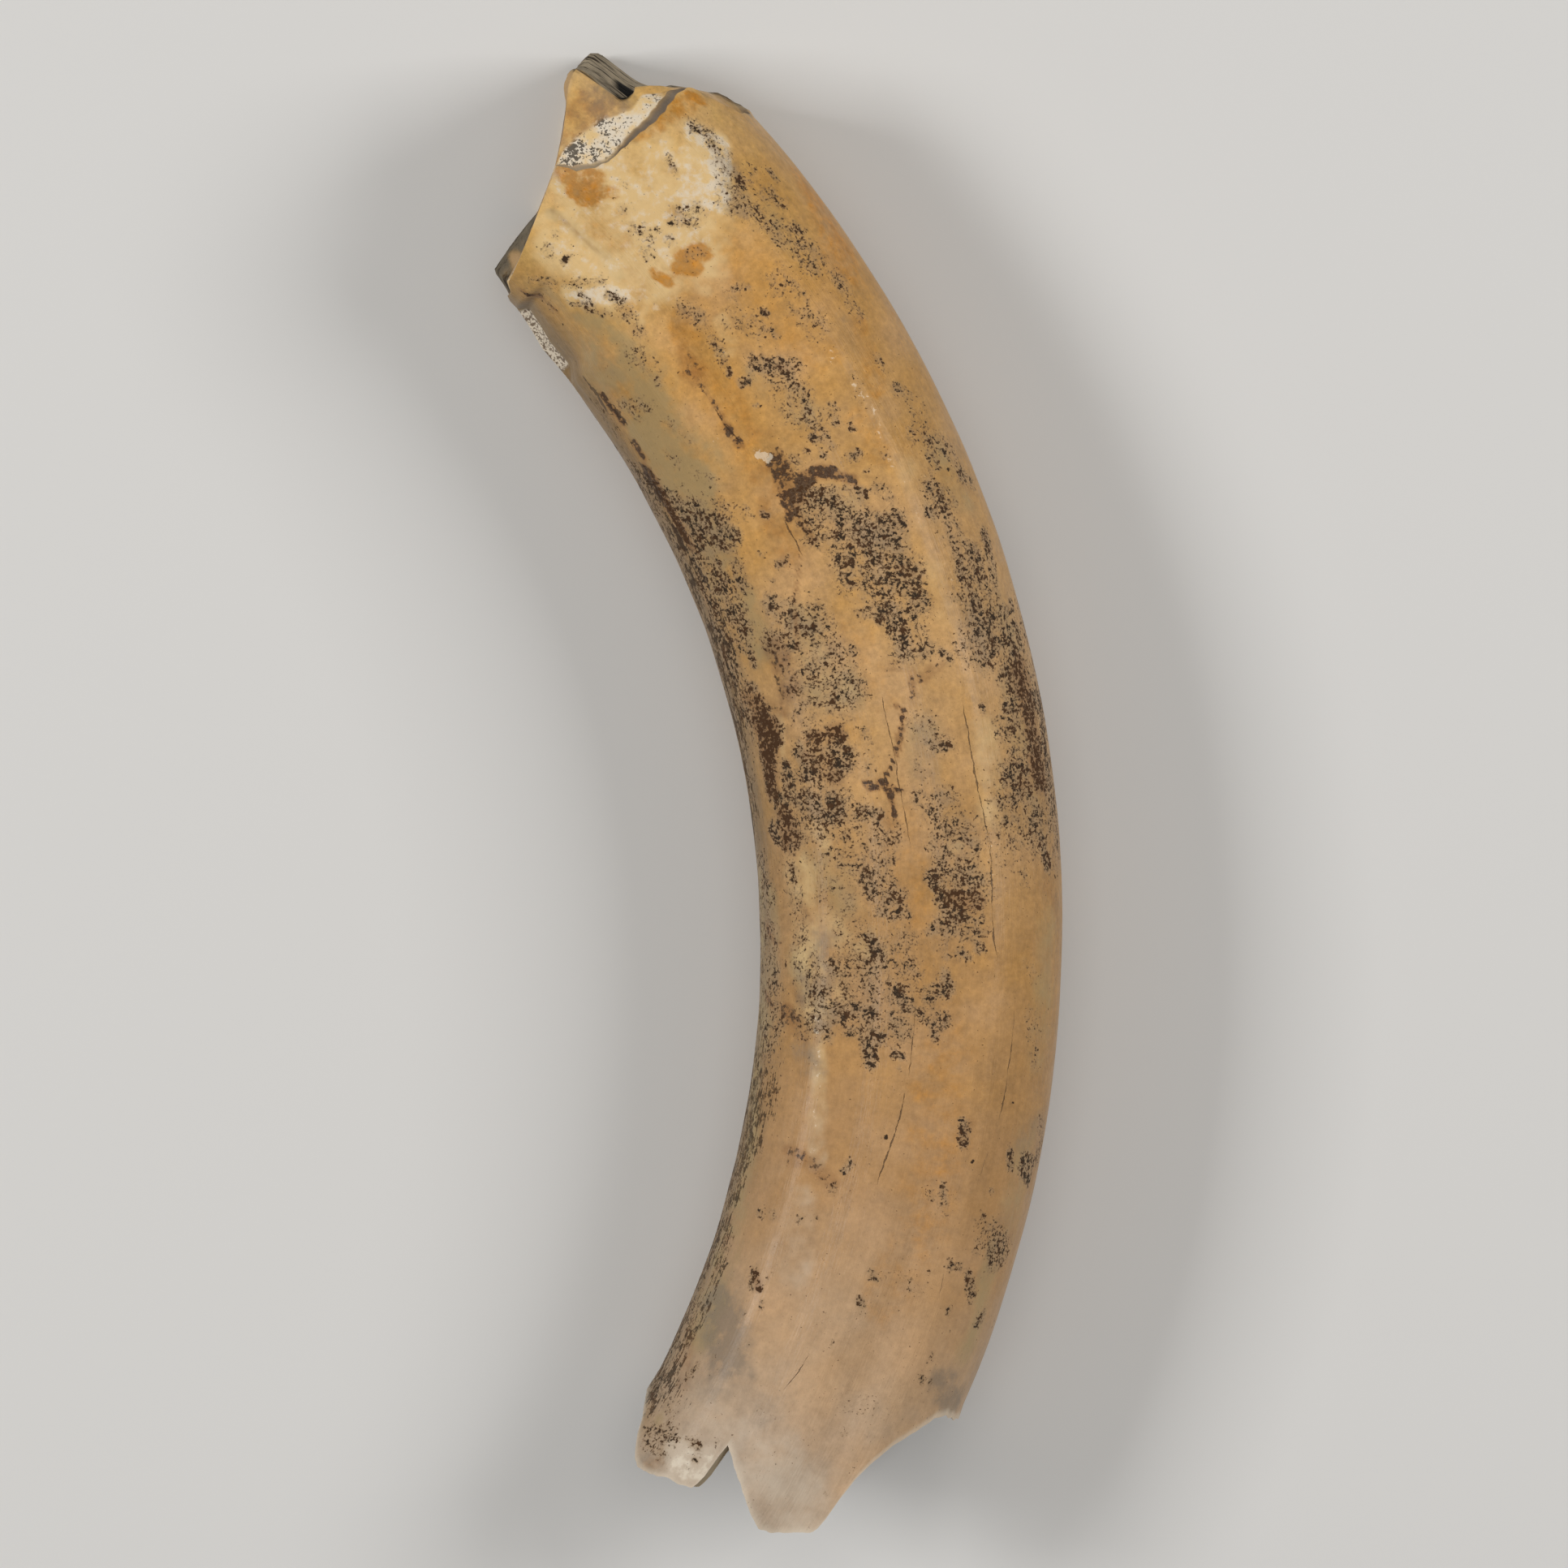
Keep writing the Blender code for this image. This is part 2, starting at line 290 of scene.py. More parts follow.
# %% [markdown]
# ## The worn and broken tip
#
# The tip ends like a roof. Its long left slope is the worn chewing face, seen edge on, and its
# right slope is a break that runs down along the fibres. On the upper side the layers have come
# off one after the other: a ledge where the outer layer stops, a chalky band that climbs from it,
# and a smooth inner layer above. Each of these is a line across the tooth, and the rings of the
# tip step down from one line to the next.

# %% Tip lines
OUTER_LAYER_EDGE = (
    (-15.4, 88.9), (-14.8, 90.2), (-7.1, 93.7), (-2.3, 95.7), (-1.6, 94.6), (-1.3, 93.7),
    (0.2, 92.6), (2.1, 91.7), (3.7, 91.4), (5.9, 91.1), (7.5, 90.9), (9.0, 90.8), (10.3, 90.9),
    (11.8, 91.1), (12.9, 91.2), (13.6, 91.1), (14.1, 90.6), (14.5, 89.4), (15.0, 88.1),
    (15.5, 86.9), (16.0, 85.9), (16.7, 85.2),
)
LEDGE_WIDTH = (
    (-2.3, 0.1), (-1.0, 0.7), (0.2, 0.5), (1.8, 0.2), (3.4, 0.2), (4.7, 0.45), (6.5, 0.65),
    (9.0, 0.9), (11.7, 0.9), (12.9, 0.5), (13.6, 0.2), (16.0, 0.2),
)
CHALK_BAND_EDGE = (
    (-15.4, 88.9), (-14.8, 90.2), (-2.3, 95.8), (-1.6, 96.1), (-0.5, 96.4), (0.7, 96.3),
    (1.9, 96.15), (2.9, 95.7), (3.6, 95.35), (4.5, 95.25), (5.3, 94.6), (6.2, 94.1), (7.0, 93.8),
    (7.7, 93.35), (8.9, 93.6), (9.7, 93.7), (10.5, 93.0), (11.6, 92.25), (12.4, 91.9),
    (13.2, 91.3), (14.9, 89.3), (16.9, 85.2),
)
INNER_LAYER_EDGE = (
    (-15.4, 88.9), (-14.8, 90.2), (-2.3, 95.9), (1.8, 98.2), (4.6, 99.6), (5.9, 100.1),
    (6.9, 100.3), (7.05, 99.2), (7.3, 97.6), (7.35, 96.5), (7.5, 95.7), (7.75, 95.0),
    (8.4, 94.5), (9.2, 94.4), (9.7, 94.75), (10.9, 93.85), (11.8, 93.0), (12.6, 92.0),
    (13.4, 91.4), (15.0, 89.5), (16.9, 85.3),
)
ROOF_LINE = (
    (-15.6, 88.2), (-14.8, 90.2), (-7.1, 93.75), (-2.0, 95.9), (1.8, 98.2), (4.6, 99.65),
    (5.9, 100.15), (7.1, 100.4), (8.2, 100.5), (8.9, 100.7), (9.6, 100.65), (10.0, 100.1),
    (10.15, 98.7), (10.2, 97.1), (10.3, 96.1), (10.5, 95.2), (11.0, 94.2), (11.8, 93.5),
    (12.3, 92.8), (13.6, 91.3), (14.9, 89.7), (15.8, 88.9), (16.2, 88.0), (16.4, 87.1),
    (16.8, 86.4), (16.9, 85.6),
)
FLAKE = (
    (-15.7, 0.0), (-15.3, 1.1), (-15.05, 2.3), (-14.5, 2.15), (-13.5, 2.0), (-12.0, 1.7),
    (-10.5, 1.25), (-8.6, 0.6), (-7.1, 0.0),
)

LEDGE_DEPTH = 0.5
CHALK_DEPTH = 1.05
INNER_DEPTH = 1.35
UPPER_SIDE_RISE = 1.5
TIP_CRUMBLE = 0.2
TIP_CRUMB_SIZE = 0.8
TIP_CRUMBLE_START = -3.0
BREAK_START = 3.0
BREAK_END = 12.8
BREAK_LEAN = 2.9
BREAK_LEAN_LEVEL = -4.0
BREAK_LEAN_RISE = 16.0
BREAK_FIBRES = 0.25
FLAKE_LEVEL = -1.2
HOLE_ACROSS = 8.5
HOLE_ALONG = 95.2
HOLE_RISE = 9.0
HOLE_HALF_WIDTH = 1.1
HOLE_HALF_HEIGHT = 3.0
HOLE_DEPTH = 3.4
WORN_TILT = 0.75
WORN_TILT_LEVEL = -2.0
WORN_TILT_END = 6.0
WORN_HOLLOW = 0.35
WORN_HOLLOW_END = 5.0


def worn_tilt(across, rise):
    """How far the worn face stands back at the upper side, so that it shows from above."""
    return WORN_TILT * past(rise, WORN_TILT_LEVEL, 15.0) * short_of(across, WORN_TILT_END, 6.0)


def upper_share(rim_height):
    """1 where a line of the skin ends on the upper side of the tip's rim."""
    return past(rim_height - WIDEST_LEVEL, UPPER_SIDE_RISE, 2.0)


def tip_rim(turn):
    """Where the outer surface ends at the tip."""
    across, height = section(turn, TIP_END)
    rise = height - WIDEST_LEVEL
    crumbs = rough(np.stack([across, height, 0.0 * across], axis=-1), TIP_CRUMB_SIZE, seed=2.0)
    crumbled = TIP_CRUMBLE * crumbs * past(across, TIP_CRUMBLE_START, 3.0)
    ledge = on_line(OUTER_LAYER_EDGE, across) + crumbled - worn_tilt(across, rise)
    return mix(broken_tip(across, rise, 1.0), ledge, upper_share(height))


def broken_tip(across, rise, share):
    """How far the tip reaches at places of the section, apart from its upper layers."""
    leaning = past(rise, BREAK_LEAN_LEVEL, BREAK_LEAN_RISE)
    fibres = BREAK_FIBRES * np.sin(rise * 2.7 + 0.9 * np.sin(rise * 1.3 + 0.4 * across))
    lean = (BREAK_LEAN * leaning + fibres) * short_of(across, BREAK_END, 3.0)
    reach = on_line(ROOF_LINE, across + lean * past(across, BREAK_START, 3.0))
    flake = on_line(FLAKE, across) * short_of(rise, FLAKE_LEVEL, 1.4)
    hole = swell(across - HOLE_ACROSS, HOLE_HALF_WIDTH) * swell(rise - HOLE_RISE, HOLE_HALF_HEIGHT)
    worn = short_of(across, WORN_HOLLOW_END, 6.0) * eased((1.0 - share) * 3.0)
    return reach + flake - HOLE_DEPTH * hole - WORN_HOLLOW * worn - worn_tilt(across, rise)


def tip_row(turn, share):
    """One ring of the tip, from its rim (share 1) to its middle (share 0)."""
    across, height = section(turn, TIP_END, share)
    rise = height - WIDEST_LEVEL
    depth = (1.0 - share) * FLUTED_HEIGHT
    ledge = tip_rim(turn)
    ledge_foot = ledge + on_line(LEDGE_WIDTH, across)
    chalk = on_line(CHALK_BAND_EDGE, across) - worn_tilt(across, rise)
    inner = on_line(INNER_LAYER_EDGE, across) - worn_tilt(across, rise)
    layers = mix(ledge, ledge_foot, eased(depth / LEDGE_DEPTH))
    for edge, start, end in ((chalk, LEDGE_DEPTH, CHALK_DEPTH), (inner, CHALK_DEPTH, INNER_DEPTH)):
        climbed = np.clip((depth - start) / (end - start), 0.0, 1.0)
        layers = mix(layers, np.maximum(edge, layers), climbed)
    plain = broken_tip(across, rise, share)
    upper = mix(layers, plain, past(depth, INNER_DEPTH, 0.5))
    rim_height = section(turn, TIP_END)[1]
    return across, mix(plain, upper, upper_share(rim_height)), height


print("tip rim reaches", float(tip_rim(np.linspace(0.0, 1.0, 400)).max()), "mm along")

# %% [markdown]
# ## Rolling the skin
#
# The closed skin is one flat grid, rolled up like dough round a pin: its columns go round the
# tooth and its rows run from the blind end of the cavity, out over the rim, up the outside and in
# over the tip to its middle. One grid keeps the faces even, and welding its seam and its two
# poles closes it. More columns go to the upper side, which shows most.

# %% Roll one grid into the closed tooth
COLUMNS = 288
UPPER_CROWDING = 0.045
CAVITY_ROWS = 24
WALL_ROWS = 5
ROOT_ROWS = 34
COLUMN_ROWS = 184
TIP_ROWS = 26
CORE_SHARE = 0.42

# How deep below the outer surface the close rings of the tip's layers lie
LAYER_DEPTHS = np.concatenate([
    [0.1, 0.25, 0.5],
    np.linspace(LEDGE_DEPTH, CHALK_DEPTH, 11)[1:],
    np.linspace(CHALK_DEPTH, INNER_DEPTH, 11)[1:],
    [1.5, 1.7, 1.9],
])
LAYER_SHARES = 1.0 - LAYER_DEPTHS / FLUTED_HEIGHT
TIP_SHARES = np.concatenate([
    LAYER_SHARES,
    np.linspace(LAYER_SHARES[-1], CORE_SHARE, 27)[1:],
    np.linspace(CORE_SHARE, 0.0, 9)[1:],
])


def outside_row(turn, along):
    """A ring of the outer surface."""
    across, height = section(turn, along)
    return across, along, height


def all_rows(turn):
    """Every row of the skin as (across, along, height), in order."""
    root, tip = root_rim(turn), tip_rim(turn)
    rows = [cavity_row(turn, share) for share in np.linspace(0.0, 1.0, CAVITY_ROWS + 1)]
    rows += [wall_row(turn, share) for share in np.linspace(0.0, 1.0, WALL_ROWS + 1)[1:-1]]
    for share in np.linspace(0.0, 1.0, ROOT_ROWS + 1)[:-1]:
        rows.append(outside_row(turn, mix(root, ROOT_LEVEL, share)))
    for along in np.linspace(ROOT_LEVEL, TIP_LEVEL, COLUMN_ROWS + 1)[:-1]:
        rows.append(outside_row(turn, along + 0.0 * turn))
    for share in np.linspace(0.0, 1.0, TIP_ROWS + 1):
        rows.append(outside_row(turn, mix(TIP_LEVEL, tip, share)))
    rows += [tip_row(turn, share) for share in TIP_SHARES]
    return rows


even_turns = np.linspace(0.0, 1.0, COLUMNS + 1)
turns = (even_turns + UPPER_CROWDING * np.cos(2.0 * math.pi * even_turns)) % 1.0
straight = np.array([np.stack(np.broadcast_arrays(*row), axis=-1) for row in all_rows(turns)])
row_count = len(straight)
print(row_count, "rows of", COLUMNS, "faces")

# %% [markdown]
# ## Low relief
#
# A real tooth is never as smooth as a formula. It has slow swellings from its growth, fine fibres
# that run its length and, on the concave side near the tip, a shelf where the outer layer has
# come away. All of this is cut inwards from the smooth skin, so the size stays what it was.

# %% Cut the relief into the skin
SWELLING_DEPTH = 0.16
FIBRE_DEPTH = 0.05
ROUGH_FLANK_DEPTH = 0.16
SHELF_DEPTH = 1.1
SHELF_START = 74.5
SHELF_END = 87.0
SHELF_LEVEL = 11.3
CONCAVE_START = -11.0


def relief_noise(lumps, seed):
    """Noise from 0 to 1, with lumps of the given size across, along and in height."""
    return 0.5 + 0.5 * rough(straight / np.array(lumps), 1.0, seed)


across, along, height = np.moveaxis(straight, -1, 0)
first_outside = CAVITY_ROWS + WALL_ROWS
last_outside = first_outside + ROOT_ROWS + COLUMN_ROWS + TIP_ROWS
row_number = np.arange(row_count)[:, None] + 0 * across.astype(int)
outside = (row_number >= first_outside) & (row_number <= last_outside)
concave_side = short_of(across, CONCAVE_START, 4.0) * outside
ends_fade = past(row_number, first_outside, 6.0) * short_of(row_number, last_outside, 4.0)
off_the_rest = eased(height / 2.0)

depth = SWELLING_DEPTH * relief_noise((16.0, 7.0, 16.0), 3.0)
depth = depth + FIBRE_DEPTH * relief_noise((0.8, 11.0, 0.8), 7.0)
depth = depth + ROUGH_FLANK_DEPTH * relief_noise((1.6, 6.0, 1.6), 11.0) * concave_side
before_shelf_end = short_of(along, SHELF_END, 1.2)
shelf = past(along, SHELF_START, 3.0) * before_shelf_end * past(height, SHELF_LEVEL, 0.8)
depth = (depth + SHELF_DEPTH * shelf * concave_side) * ends_fade * off_the_rest * outside

places = bent(across, along, height)


def outward(places):
    """The outward direction at each point of the rolled grid."""
    ring = places[:, :-1]
    lengthwise = np.gradient(ring, axis=0)
    sideways = np.roll(ring, -1, axis=1) - np.roll(ring, 1, axis=1)
    normal = np.cross(lengthwise, sideways)
    normal /= np.maximum(np.linalg.norm(normal, axis=-1, keepdims=True), 1e-12)
    return np.concatenate([normal, normal[:, :1]], axis=1)


places = places - outward(places) * (depth * MM)[..., None]
places = np.clip(places, np.array(cad_low), np.array(cad_high))
print("relief is up to", round(float(depth.max()), 2), "mm deep")

# %% Make the skin a mesh
WELD_GAP = 0.0005
SHARP_ANGLE = 50.0


def roll_up(name, places):
    """Rolls a flat grid into the closed skin. Each point keeps its number in the grid."""
    rows, columns = places.shape[:2]
    flat = places.reshape(-1, 3)
    skin = bmesh.new()
    bmesh.ops.create_grid(skin, x_segments=columns - 1, y_segments=rows - 1, size=0.5)
    number = skin.verts.layers.int.new("number")
    for corner in skin.verts:
        column = round((corner.co.x + 0.5) * (columns - 1))
        row = round((corner.co.y + 0.5) * (rows - 1))
        corner[number] = row * columns + column
        corner.co = flat[corner[number]]
    bmesh.ops.remove_doubles(skin, verts=skin.verts, dist=WELD_GAP * MM)
    bmesh.ops.recalc_face_normals(skin, faces=skin.faces)
    mesh = bpy.data.meshes.new(name)
    skin.to_mesh(mesh)
    skin.free()
    mesh.shade_smooth()
    mesh.set_sharp_from_angle(angle=math.radians(SHARP_ANGLE))
    return mesh


mesh = roll_up("fossil_tooth", places)
numbers = np.empty(len(mesh.vertices), int)
mesh.attributes["number"].data.foreach_get("value", numbers)
mesh.attributes.remove(mesh.attributes["number"])
mesh.calc_loop_triangles()
print(len(mesh.vertices), "points and", len(mesh.loop_triangles), "triangles")

# %% [markdown]
# ## Where the stains and cracks go
#
# The stains of a fossil come from minerals in the ground, and they lie where the surface was
# sheltered: in the grooves between the flutes, and along both flanks. Each patch is placed at a
# pixel of the photograph, and becomes a soft spot on the skin. Its finest fraying and its dots
# come later, from the material.
#
# Distances are measured over the surface: around the tooth from the middle of its upper face, and
# along it. So a patch near the edge wraps round the flank as a real stain does.

# %% Measure around the tooth
SECTION_STEPS = 2000
EDGE_SHARE = 0.999

section_turns = np.linspace(0.0, 1.0, SECTION_STEPS + 1)
section_across, section_height = section(section_turns, 0.0)
section_steps = np.hypot(np.diff(section_across), np.diff(section_height))
section_length = np.concatenate([[0.0], np.cumsum(section_steps)])
top_length = float(np.interp(0.25, section_turns, section_length))
girth = float(section_length[-1])


def around_at(turn):
    """The distance over the surface from the middle of the upper face, + to the convex side."""
    way = top_length - np.interp(turn, section_turns, section_length)
    return np.where(way < -girth / 2.0, way + girth, way)


def upper_turn(across, along):
    """The turn at which the upper side has this place across."""
    share = np.clip(across / half_width(along), -EDGE_SHARE, EDGE_SHARE)
    angle = np.arccos(np.sign(share) * np.abs(share) ** (1.0 / SQUARENESS))
    return angle / (2.0 * math.pi)


def surface_at(pixel_x, pixel_y):
    """The place (around, along) on the upper side under a pixel of the photograph."""
    across, along = seen_at(pixel_x, pixel_y)
    return around_at(upper_turn(across, along)), along


around = around_at(turns)[None, :] + 0.0 * across
print("the tooth measures", round(girth, 1), "mm around")

# %% [markdown]
# ### Brush strokes
#
# Each group of numbers below is one stroke of a soft brush: its breadth in pixels, its strength,
# and the x and y of each pixel of the photograph that it passes. A stroke with one pixel is a dab.

# %% Strokes of dark speckles
SPECKLES_TIP = (
    (10, 1.0, 872, 119, 895, 126, 918, 138), (20, 0.6, 850, 318, 862, 314),
    (22, 0.75, 856, 160, 872, 166), (24, 0.75, 880, 178, 890, 192), (18, 0.6, 890, 205, 888, 255),
    (24, 0.8, 912, 222, 906, 256), (22, 0.6, 925, 212, 915, 235), (12, 0.95, 950, 214, 956, 220),
    (26, 0.72, 945, 243, 962, 252), (34, 0.66, 935, 268, 960, 285), (14, 0.7, 955, 300, 960, 305),
    (44, 0.66, 975, 285, 1000, 325), (26, 0.75, 838, 270, 856, 268), (10, 0.8, 828, 279, 858, 281),
    (10, 0.85, 824, 200, 832, 214), (8, 0.9, 771, 229, 772, 235), (16, 0.55, 768, 262, 778, 262),
    (10, 0.8, 780, 282, 778, 290), (20, 0.62, 792, 288, 803, 318), (8, 0.8, 806, 287, 812, 288),
    (14, 0.5, 822, 297, 828, 303), (9, 0.9, 685, 290, 687, 296), (14, 0.6, 676, 308, 678, 322),
    (11, 1.1, 695, 327, 701, 322), (18, 0.5, 655, 350, 740, 352), (8, 1.0, 702, 378, 735, 379),
    (10, 0.9, 716, 366, 726, 372), (12, 0.85, 750, 368, 768, 376), (16, 0.8, 765, 380, 778, 395),
    (16, 0.7, 782, 398, 790, 415), (20, 0.5, 650, 368, 672, 388), (12, 0.6, 722, 384, 752, 392),
    (24, 0.6, 842, 384, 860, 398), (9, 0.85, 903, 360, 922, 357), (20, 0.5, 898, 365, 912, 385),
    (9, 0.95, 941, 386, 944, 390), (9, 0.95, 955, 415, 956, 417), (9, 0.7, 937, 418, 936, 428),
    (18, 0.6, 880, 425, 893, 450), (30, 0.58, 905, 395, 935, 410), (44, 0.52, 965, 355, 1000, 400),
    (30, 0.52, 1030, 340, 1060, 390),
)
SPECKLES_UPPER = (
    (28, 0.98, 934, 452, 976, 457), (38, 0.62, 955, 472, 988, 490), (40, 0.5, 975, 503, 1005, 518),
    (15, 1.25, 995, 510, 1001, 524), (12, 1.2, 1006, 529), (18, 0.95, 1002, 542, 1013, 541),
    (12, 1.1, 1026, 503), (12, 1.15, 1029, 522), (13, 1.0, 1024, 551), (12, 1.1, 1014, 563),
    (13, 0.85, 1048, 530), (14, 1.0, 1048, 567, 1056, 562), (12, 0.9, 1090, 563), (13, 0.8, 1068, 585),
    (10, 0.8, 1037, 575), (12, 0.7, 995, 560), (14, 0.9, 977, 568, 983, 574), (11, 1.1, 899, 463),
    (13, 1.15, 915, 475, 922, 471), (9, 1.1, 931, 503), (15, 0.6, 891, 452), (12, 0.7, 925, 445),
    (16, 0.5, 1082, 445, 1086, 455), (16, 0.4, 1052, 465, 1060, 495), (30, 0.45, 780, 438, 800, 455),
    (13, 0.75, 790, 452), (10, 0.9, 812, 468, 815, 477), (20, 0.62, 765, 502, 800, 503),
    (16, 0.85, 778, 510, 788, 518), (16, 0.4, 820, 520, 850, 545), (18, 0.5, 822, 562, 834, 572),
    (20, 0.35, 860, 585, 880, 600), (9, 1.0, 940, 636, 946, 637), (9, 0.8, 924, 637), (9, 0.7, 918, 626),
    (13, 1.15, 961, 697, 966, 694), (10, 0.8, 952, 718), (14, 0.5, 970, 688), (14, 0.6, 936, 685),
    (15, 0.65, 1100, 480, 1122, 488), (18, 0.65, 1122, 495, 1128, 520), (22, 0.5, 1136, 500, 1142, 518),
    (34, 0.6, 1128, 536, 1165, 552), (20, 0.9, 1146, 552, 1150, 576), (11, 1.1, 1164, 559),
    (26, 0.85, 1180, 582, 1196, 592), (30, 1.1, 1150, 608, 1166, 620), (17, 1.0, 1145, 632, 1150, 636),
    (14, 0.5, 1160, 664),
)
SPECKLES_CLUSTER = (
    (40, 0.9, 998, 624, 1050, 618), (17, 1.15, 1057, 606, 1064, 612), (20, 0.75, 1075, 605, 1092, 612),
    (26, 0.95, 998, 646, 1052, 640), (30, 1.15, 1070, 648, 1102, 646), (36, 0.98, 1008, 667, 1100, 668),
    (24, 1.2, 1064, 664, 1104, 666), (40, 0.98, 1038, 690, 1100, 690), (36, 0.92, 1048, 712, 1122, 706),
    (26, 1.1, 1106, 700, 1122, 712), (36, 0.85, 1072, 735, 1125, 728), (32, 0.85, 1082, 752, 1134, 742),
    (12, 1.2, 1083, 765), (22, 0.75, 1064, 755), (34, 0.95, 1106, 776, 1116, 792),
    (32, 0.85, 1108, 806, 1136, 800), (18, 0.8, 1130, 770, 1140, 792), (14, 0.8, 1160, 806, 1168, 812),
    (26, 1.0, 1186, 678, 1187, 712), (24, 1.05, 1214, 662, 1223, 716), (30, 0.9, 1198, 722, 1224, 726),
    (20, 0.6, 1176, 734, 1190, 740), (46, 1.0, 1204, 750, 1226, 788), (20, 1.15, 1245, 742, 1257, 792),
    (30, 0.9, 1230, 765, 1242, 788), (46, 0.75, 1214, 804, 1256, 812), (24, 0.6, 1184, 796, 1206, 812),
    (60, 0.9, 1200, 690, 1212, 800), (40, 0.9, 1240, 760, 1262, 840), (34, 0.9, 1172, 640, 1190, 700),
)
SPECKLES_LEFT = (
    (90, 0.65, 790, 602, 845, 705, 880, 800, 903, 890, 918, 960), (26, 0.9, 862, 742, 884, 770),
    (90, 0.55, 925, 1050, 935, 1180), (100, 0.6, 890, 1470, 865, 1540, 830, 1640, 808, 1700),
    (40, 1.03, 830, 620, 860, 700), (40, 1.08, 866, 720, 900, 820), (34, 0.93, 905, 830, 925, 900),
    (40, 0.88, 760, 560, 810, 610), (52, 0.86, 838, 632, 882, 640), (44, 1.03, 848, 660, 892, 668),
    (34, 0.8, 872, 692, 884, 700), (34, 1.08, 858, 704, 874, 730), (40, 1.1, 884, 714, 902, 752),
    (26, 0.98, 906, 700, 916, 722), (34, 1.03, 900, 760, 918, 780), (13, 1.2, 921, 797, 928, 820),
    (13, 1.0, 905, 786, 914, 802), (24, 0.88, 890, 795, 900, 830), (32, 0.83, 950, 746, 978, 764),
    (44, 0.76, 992, 752, 1012, 792), (28, 0.98, 945, 786, 976, 794), (40, 0.8, 1008, 806, 1042, 812),
    (54, 0.8, 998, 832, 1046, 850), (16, 1.0, 1046, 806), (32, 0.7, 1000, 872, 1042, 866),
    (30, 0.73, 984, 846, 990, 872), (18, 1.08, 930, 850, 940, 870),
)
SPECKLES_MIDDLE = (
    (40, 1.8, 938, 888, 950, 906), (26, 1.7, 944, 926, 950, 976), (28, 1.0, 966, 944, 972, 978),
    (36, 1.45, 966, 1006, 974, 1034), (16, 1.3, 950, 1020, 956, 1034), (22, 0.9, 954, 986, 966, 998),
    (24, 1.05, 998, 906, 1032, 904), (38, 1.15, 986, 930, 1036, 930), (22, 1.2, 1028, 948, 1044, 944),
    (36, 1.1, 988, 952, 1026, 956), (34, 1.05, 968, 985, 1032, 985), (32, 1.0, 984, 1006, 1032, 1000),
    (34, 0.75, 988, 1030, 1036, 1026), (30, 0.5, 985, 885, 1040, 886), (46, 0.66, 1050, 1006, 1088, 1030),
    (20, 0.95, 1058, 1000, 1082, 1005), (34, 0.52, 1048, 1046, 1092, 1050),
    (38, 0.6, 1130, 890, 1156, 914), (9, 1.2, 1152, 919, 1168, 920), (26, 0.48, 1132, 935, 1140, 955),
    (32, 0.8, 1134, 984, 1150, 1000), (24, 0.6, 1160, 975, 1174, 985), (16, 0.65, 1145, 1010, 1160, 1026),
    (20, 0.4, 1065, 900, 1072, 950), (64, 0.85, 1250, 780, 1264, 1010), (40, 1.3, 1258, 826, 1280, 960),
    (120, 0.8, 1272, 790, 1292, 880, 1300, 1000), (48, 1.0, 1244, 834, 1272, 856),
    (28, 1.3, 1244, 868, 1285, 864), (22, 1.2, 1282, 880, 1291, 942), (36, 0.8, 1250, 894, 1262, 930),
    (36, 1.1, 1244, 954, 1286, 960), (24, 1.3, 1260, 968, 1286, 968), (50, 0.75, 1238, 996, 1282, 1002),
    (44, 0.66, 1234, 1022, 1278, 1030), (20, 1.2, 1284, 1036, 1291, 1064),
    (34, 0.5, 1232, 1052, 1258, 1076), (22, 0.75, 1228, 888, 1232, 906), (12, 1.1, 1209, 872),
)
SPECKLES_LOWER = (
    (60, 0.65, 935, 1060, 948, 1290), (40, 0.6, 985, 1170, 990, 1260), (30, 0.55, 970, 1060, 985, 1160),
    (44, 0.7, 1160, 1020, 1198, 1030), (22, 0.75, 1150, 1045, 1155, 1066),
    (54, 0.8, 1170, 1060, 1192, 1092), (22, 1.2, 1148, 1078, 1155, 1098),
    (26, 1.4, 1160, 1108, 1198, 1108), (26, 1.1, 1160, 1128, 1202, 1130),
    (22, 0.85, 1150, 1144, 1206, 1146), (16, 0.75, 1200, 1150, 1205, 1166),
    (15, 1.1, 1181, 1172, 1188, 1178), (14, 0.8, 1162, 1165, 1165, 1176),
    (38, 0.55, 1005, 1052, 1052, 1062), (16, 0.95, 1036, 1066, 1056, 1070),
    (20, 0.85, 1060, 1060, 1066, 1080), (24, 0.75, 1090, 1062, 1100, 1046),
    (44, 1.05, 1076, 1086, 1100, 1118), (9, 1.4, 1080, 1125, 1116, 1125),
    (17, 1.05, 1072, 1155, 1080, 1176), (34, 0.5, 968, 1068, 984, 1122),
    (64, 0.5, 1028, 1100, 1060, 1160), (46, 0.5, 1100, 1142, 1112, 1172),
    (60, 0.65, 1030, 1196, 1112, 1200), (50, 0.75, 1052, 1216, 1110, 1222),
    (26, 1.1, 1100, 1214, 1115, 1236), (32, 1.05, 1036, 1246, 1072, 1250),
    (26, 1.0, 1050, 1266, 1080, 1276), (32, 0.75, 1085, 1254, 1112, 1266),
    (20, 1.05, 1066, 1284, 1072, 1305), (10, 1.0, 1100, 1296, 1110, 1300), (8, 0.9, 1107, 1312),
    (24, 1.2, 1145, 1222, 1163, 1215), (15, 1.0, 1162, 1198, 1166, 1212),
    (24, 0.95, 1138, 1246, 1160, 1256), (13, 1.15, 1148, 1272, 1152, 1276),
    (42, 0.7, 1006, 1190, 1016, 1236), (24, 0.75, 1000, 1250, 1016, 1272),
    (26, 0.8, 985, 1190, 1000, 1216),
)
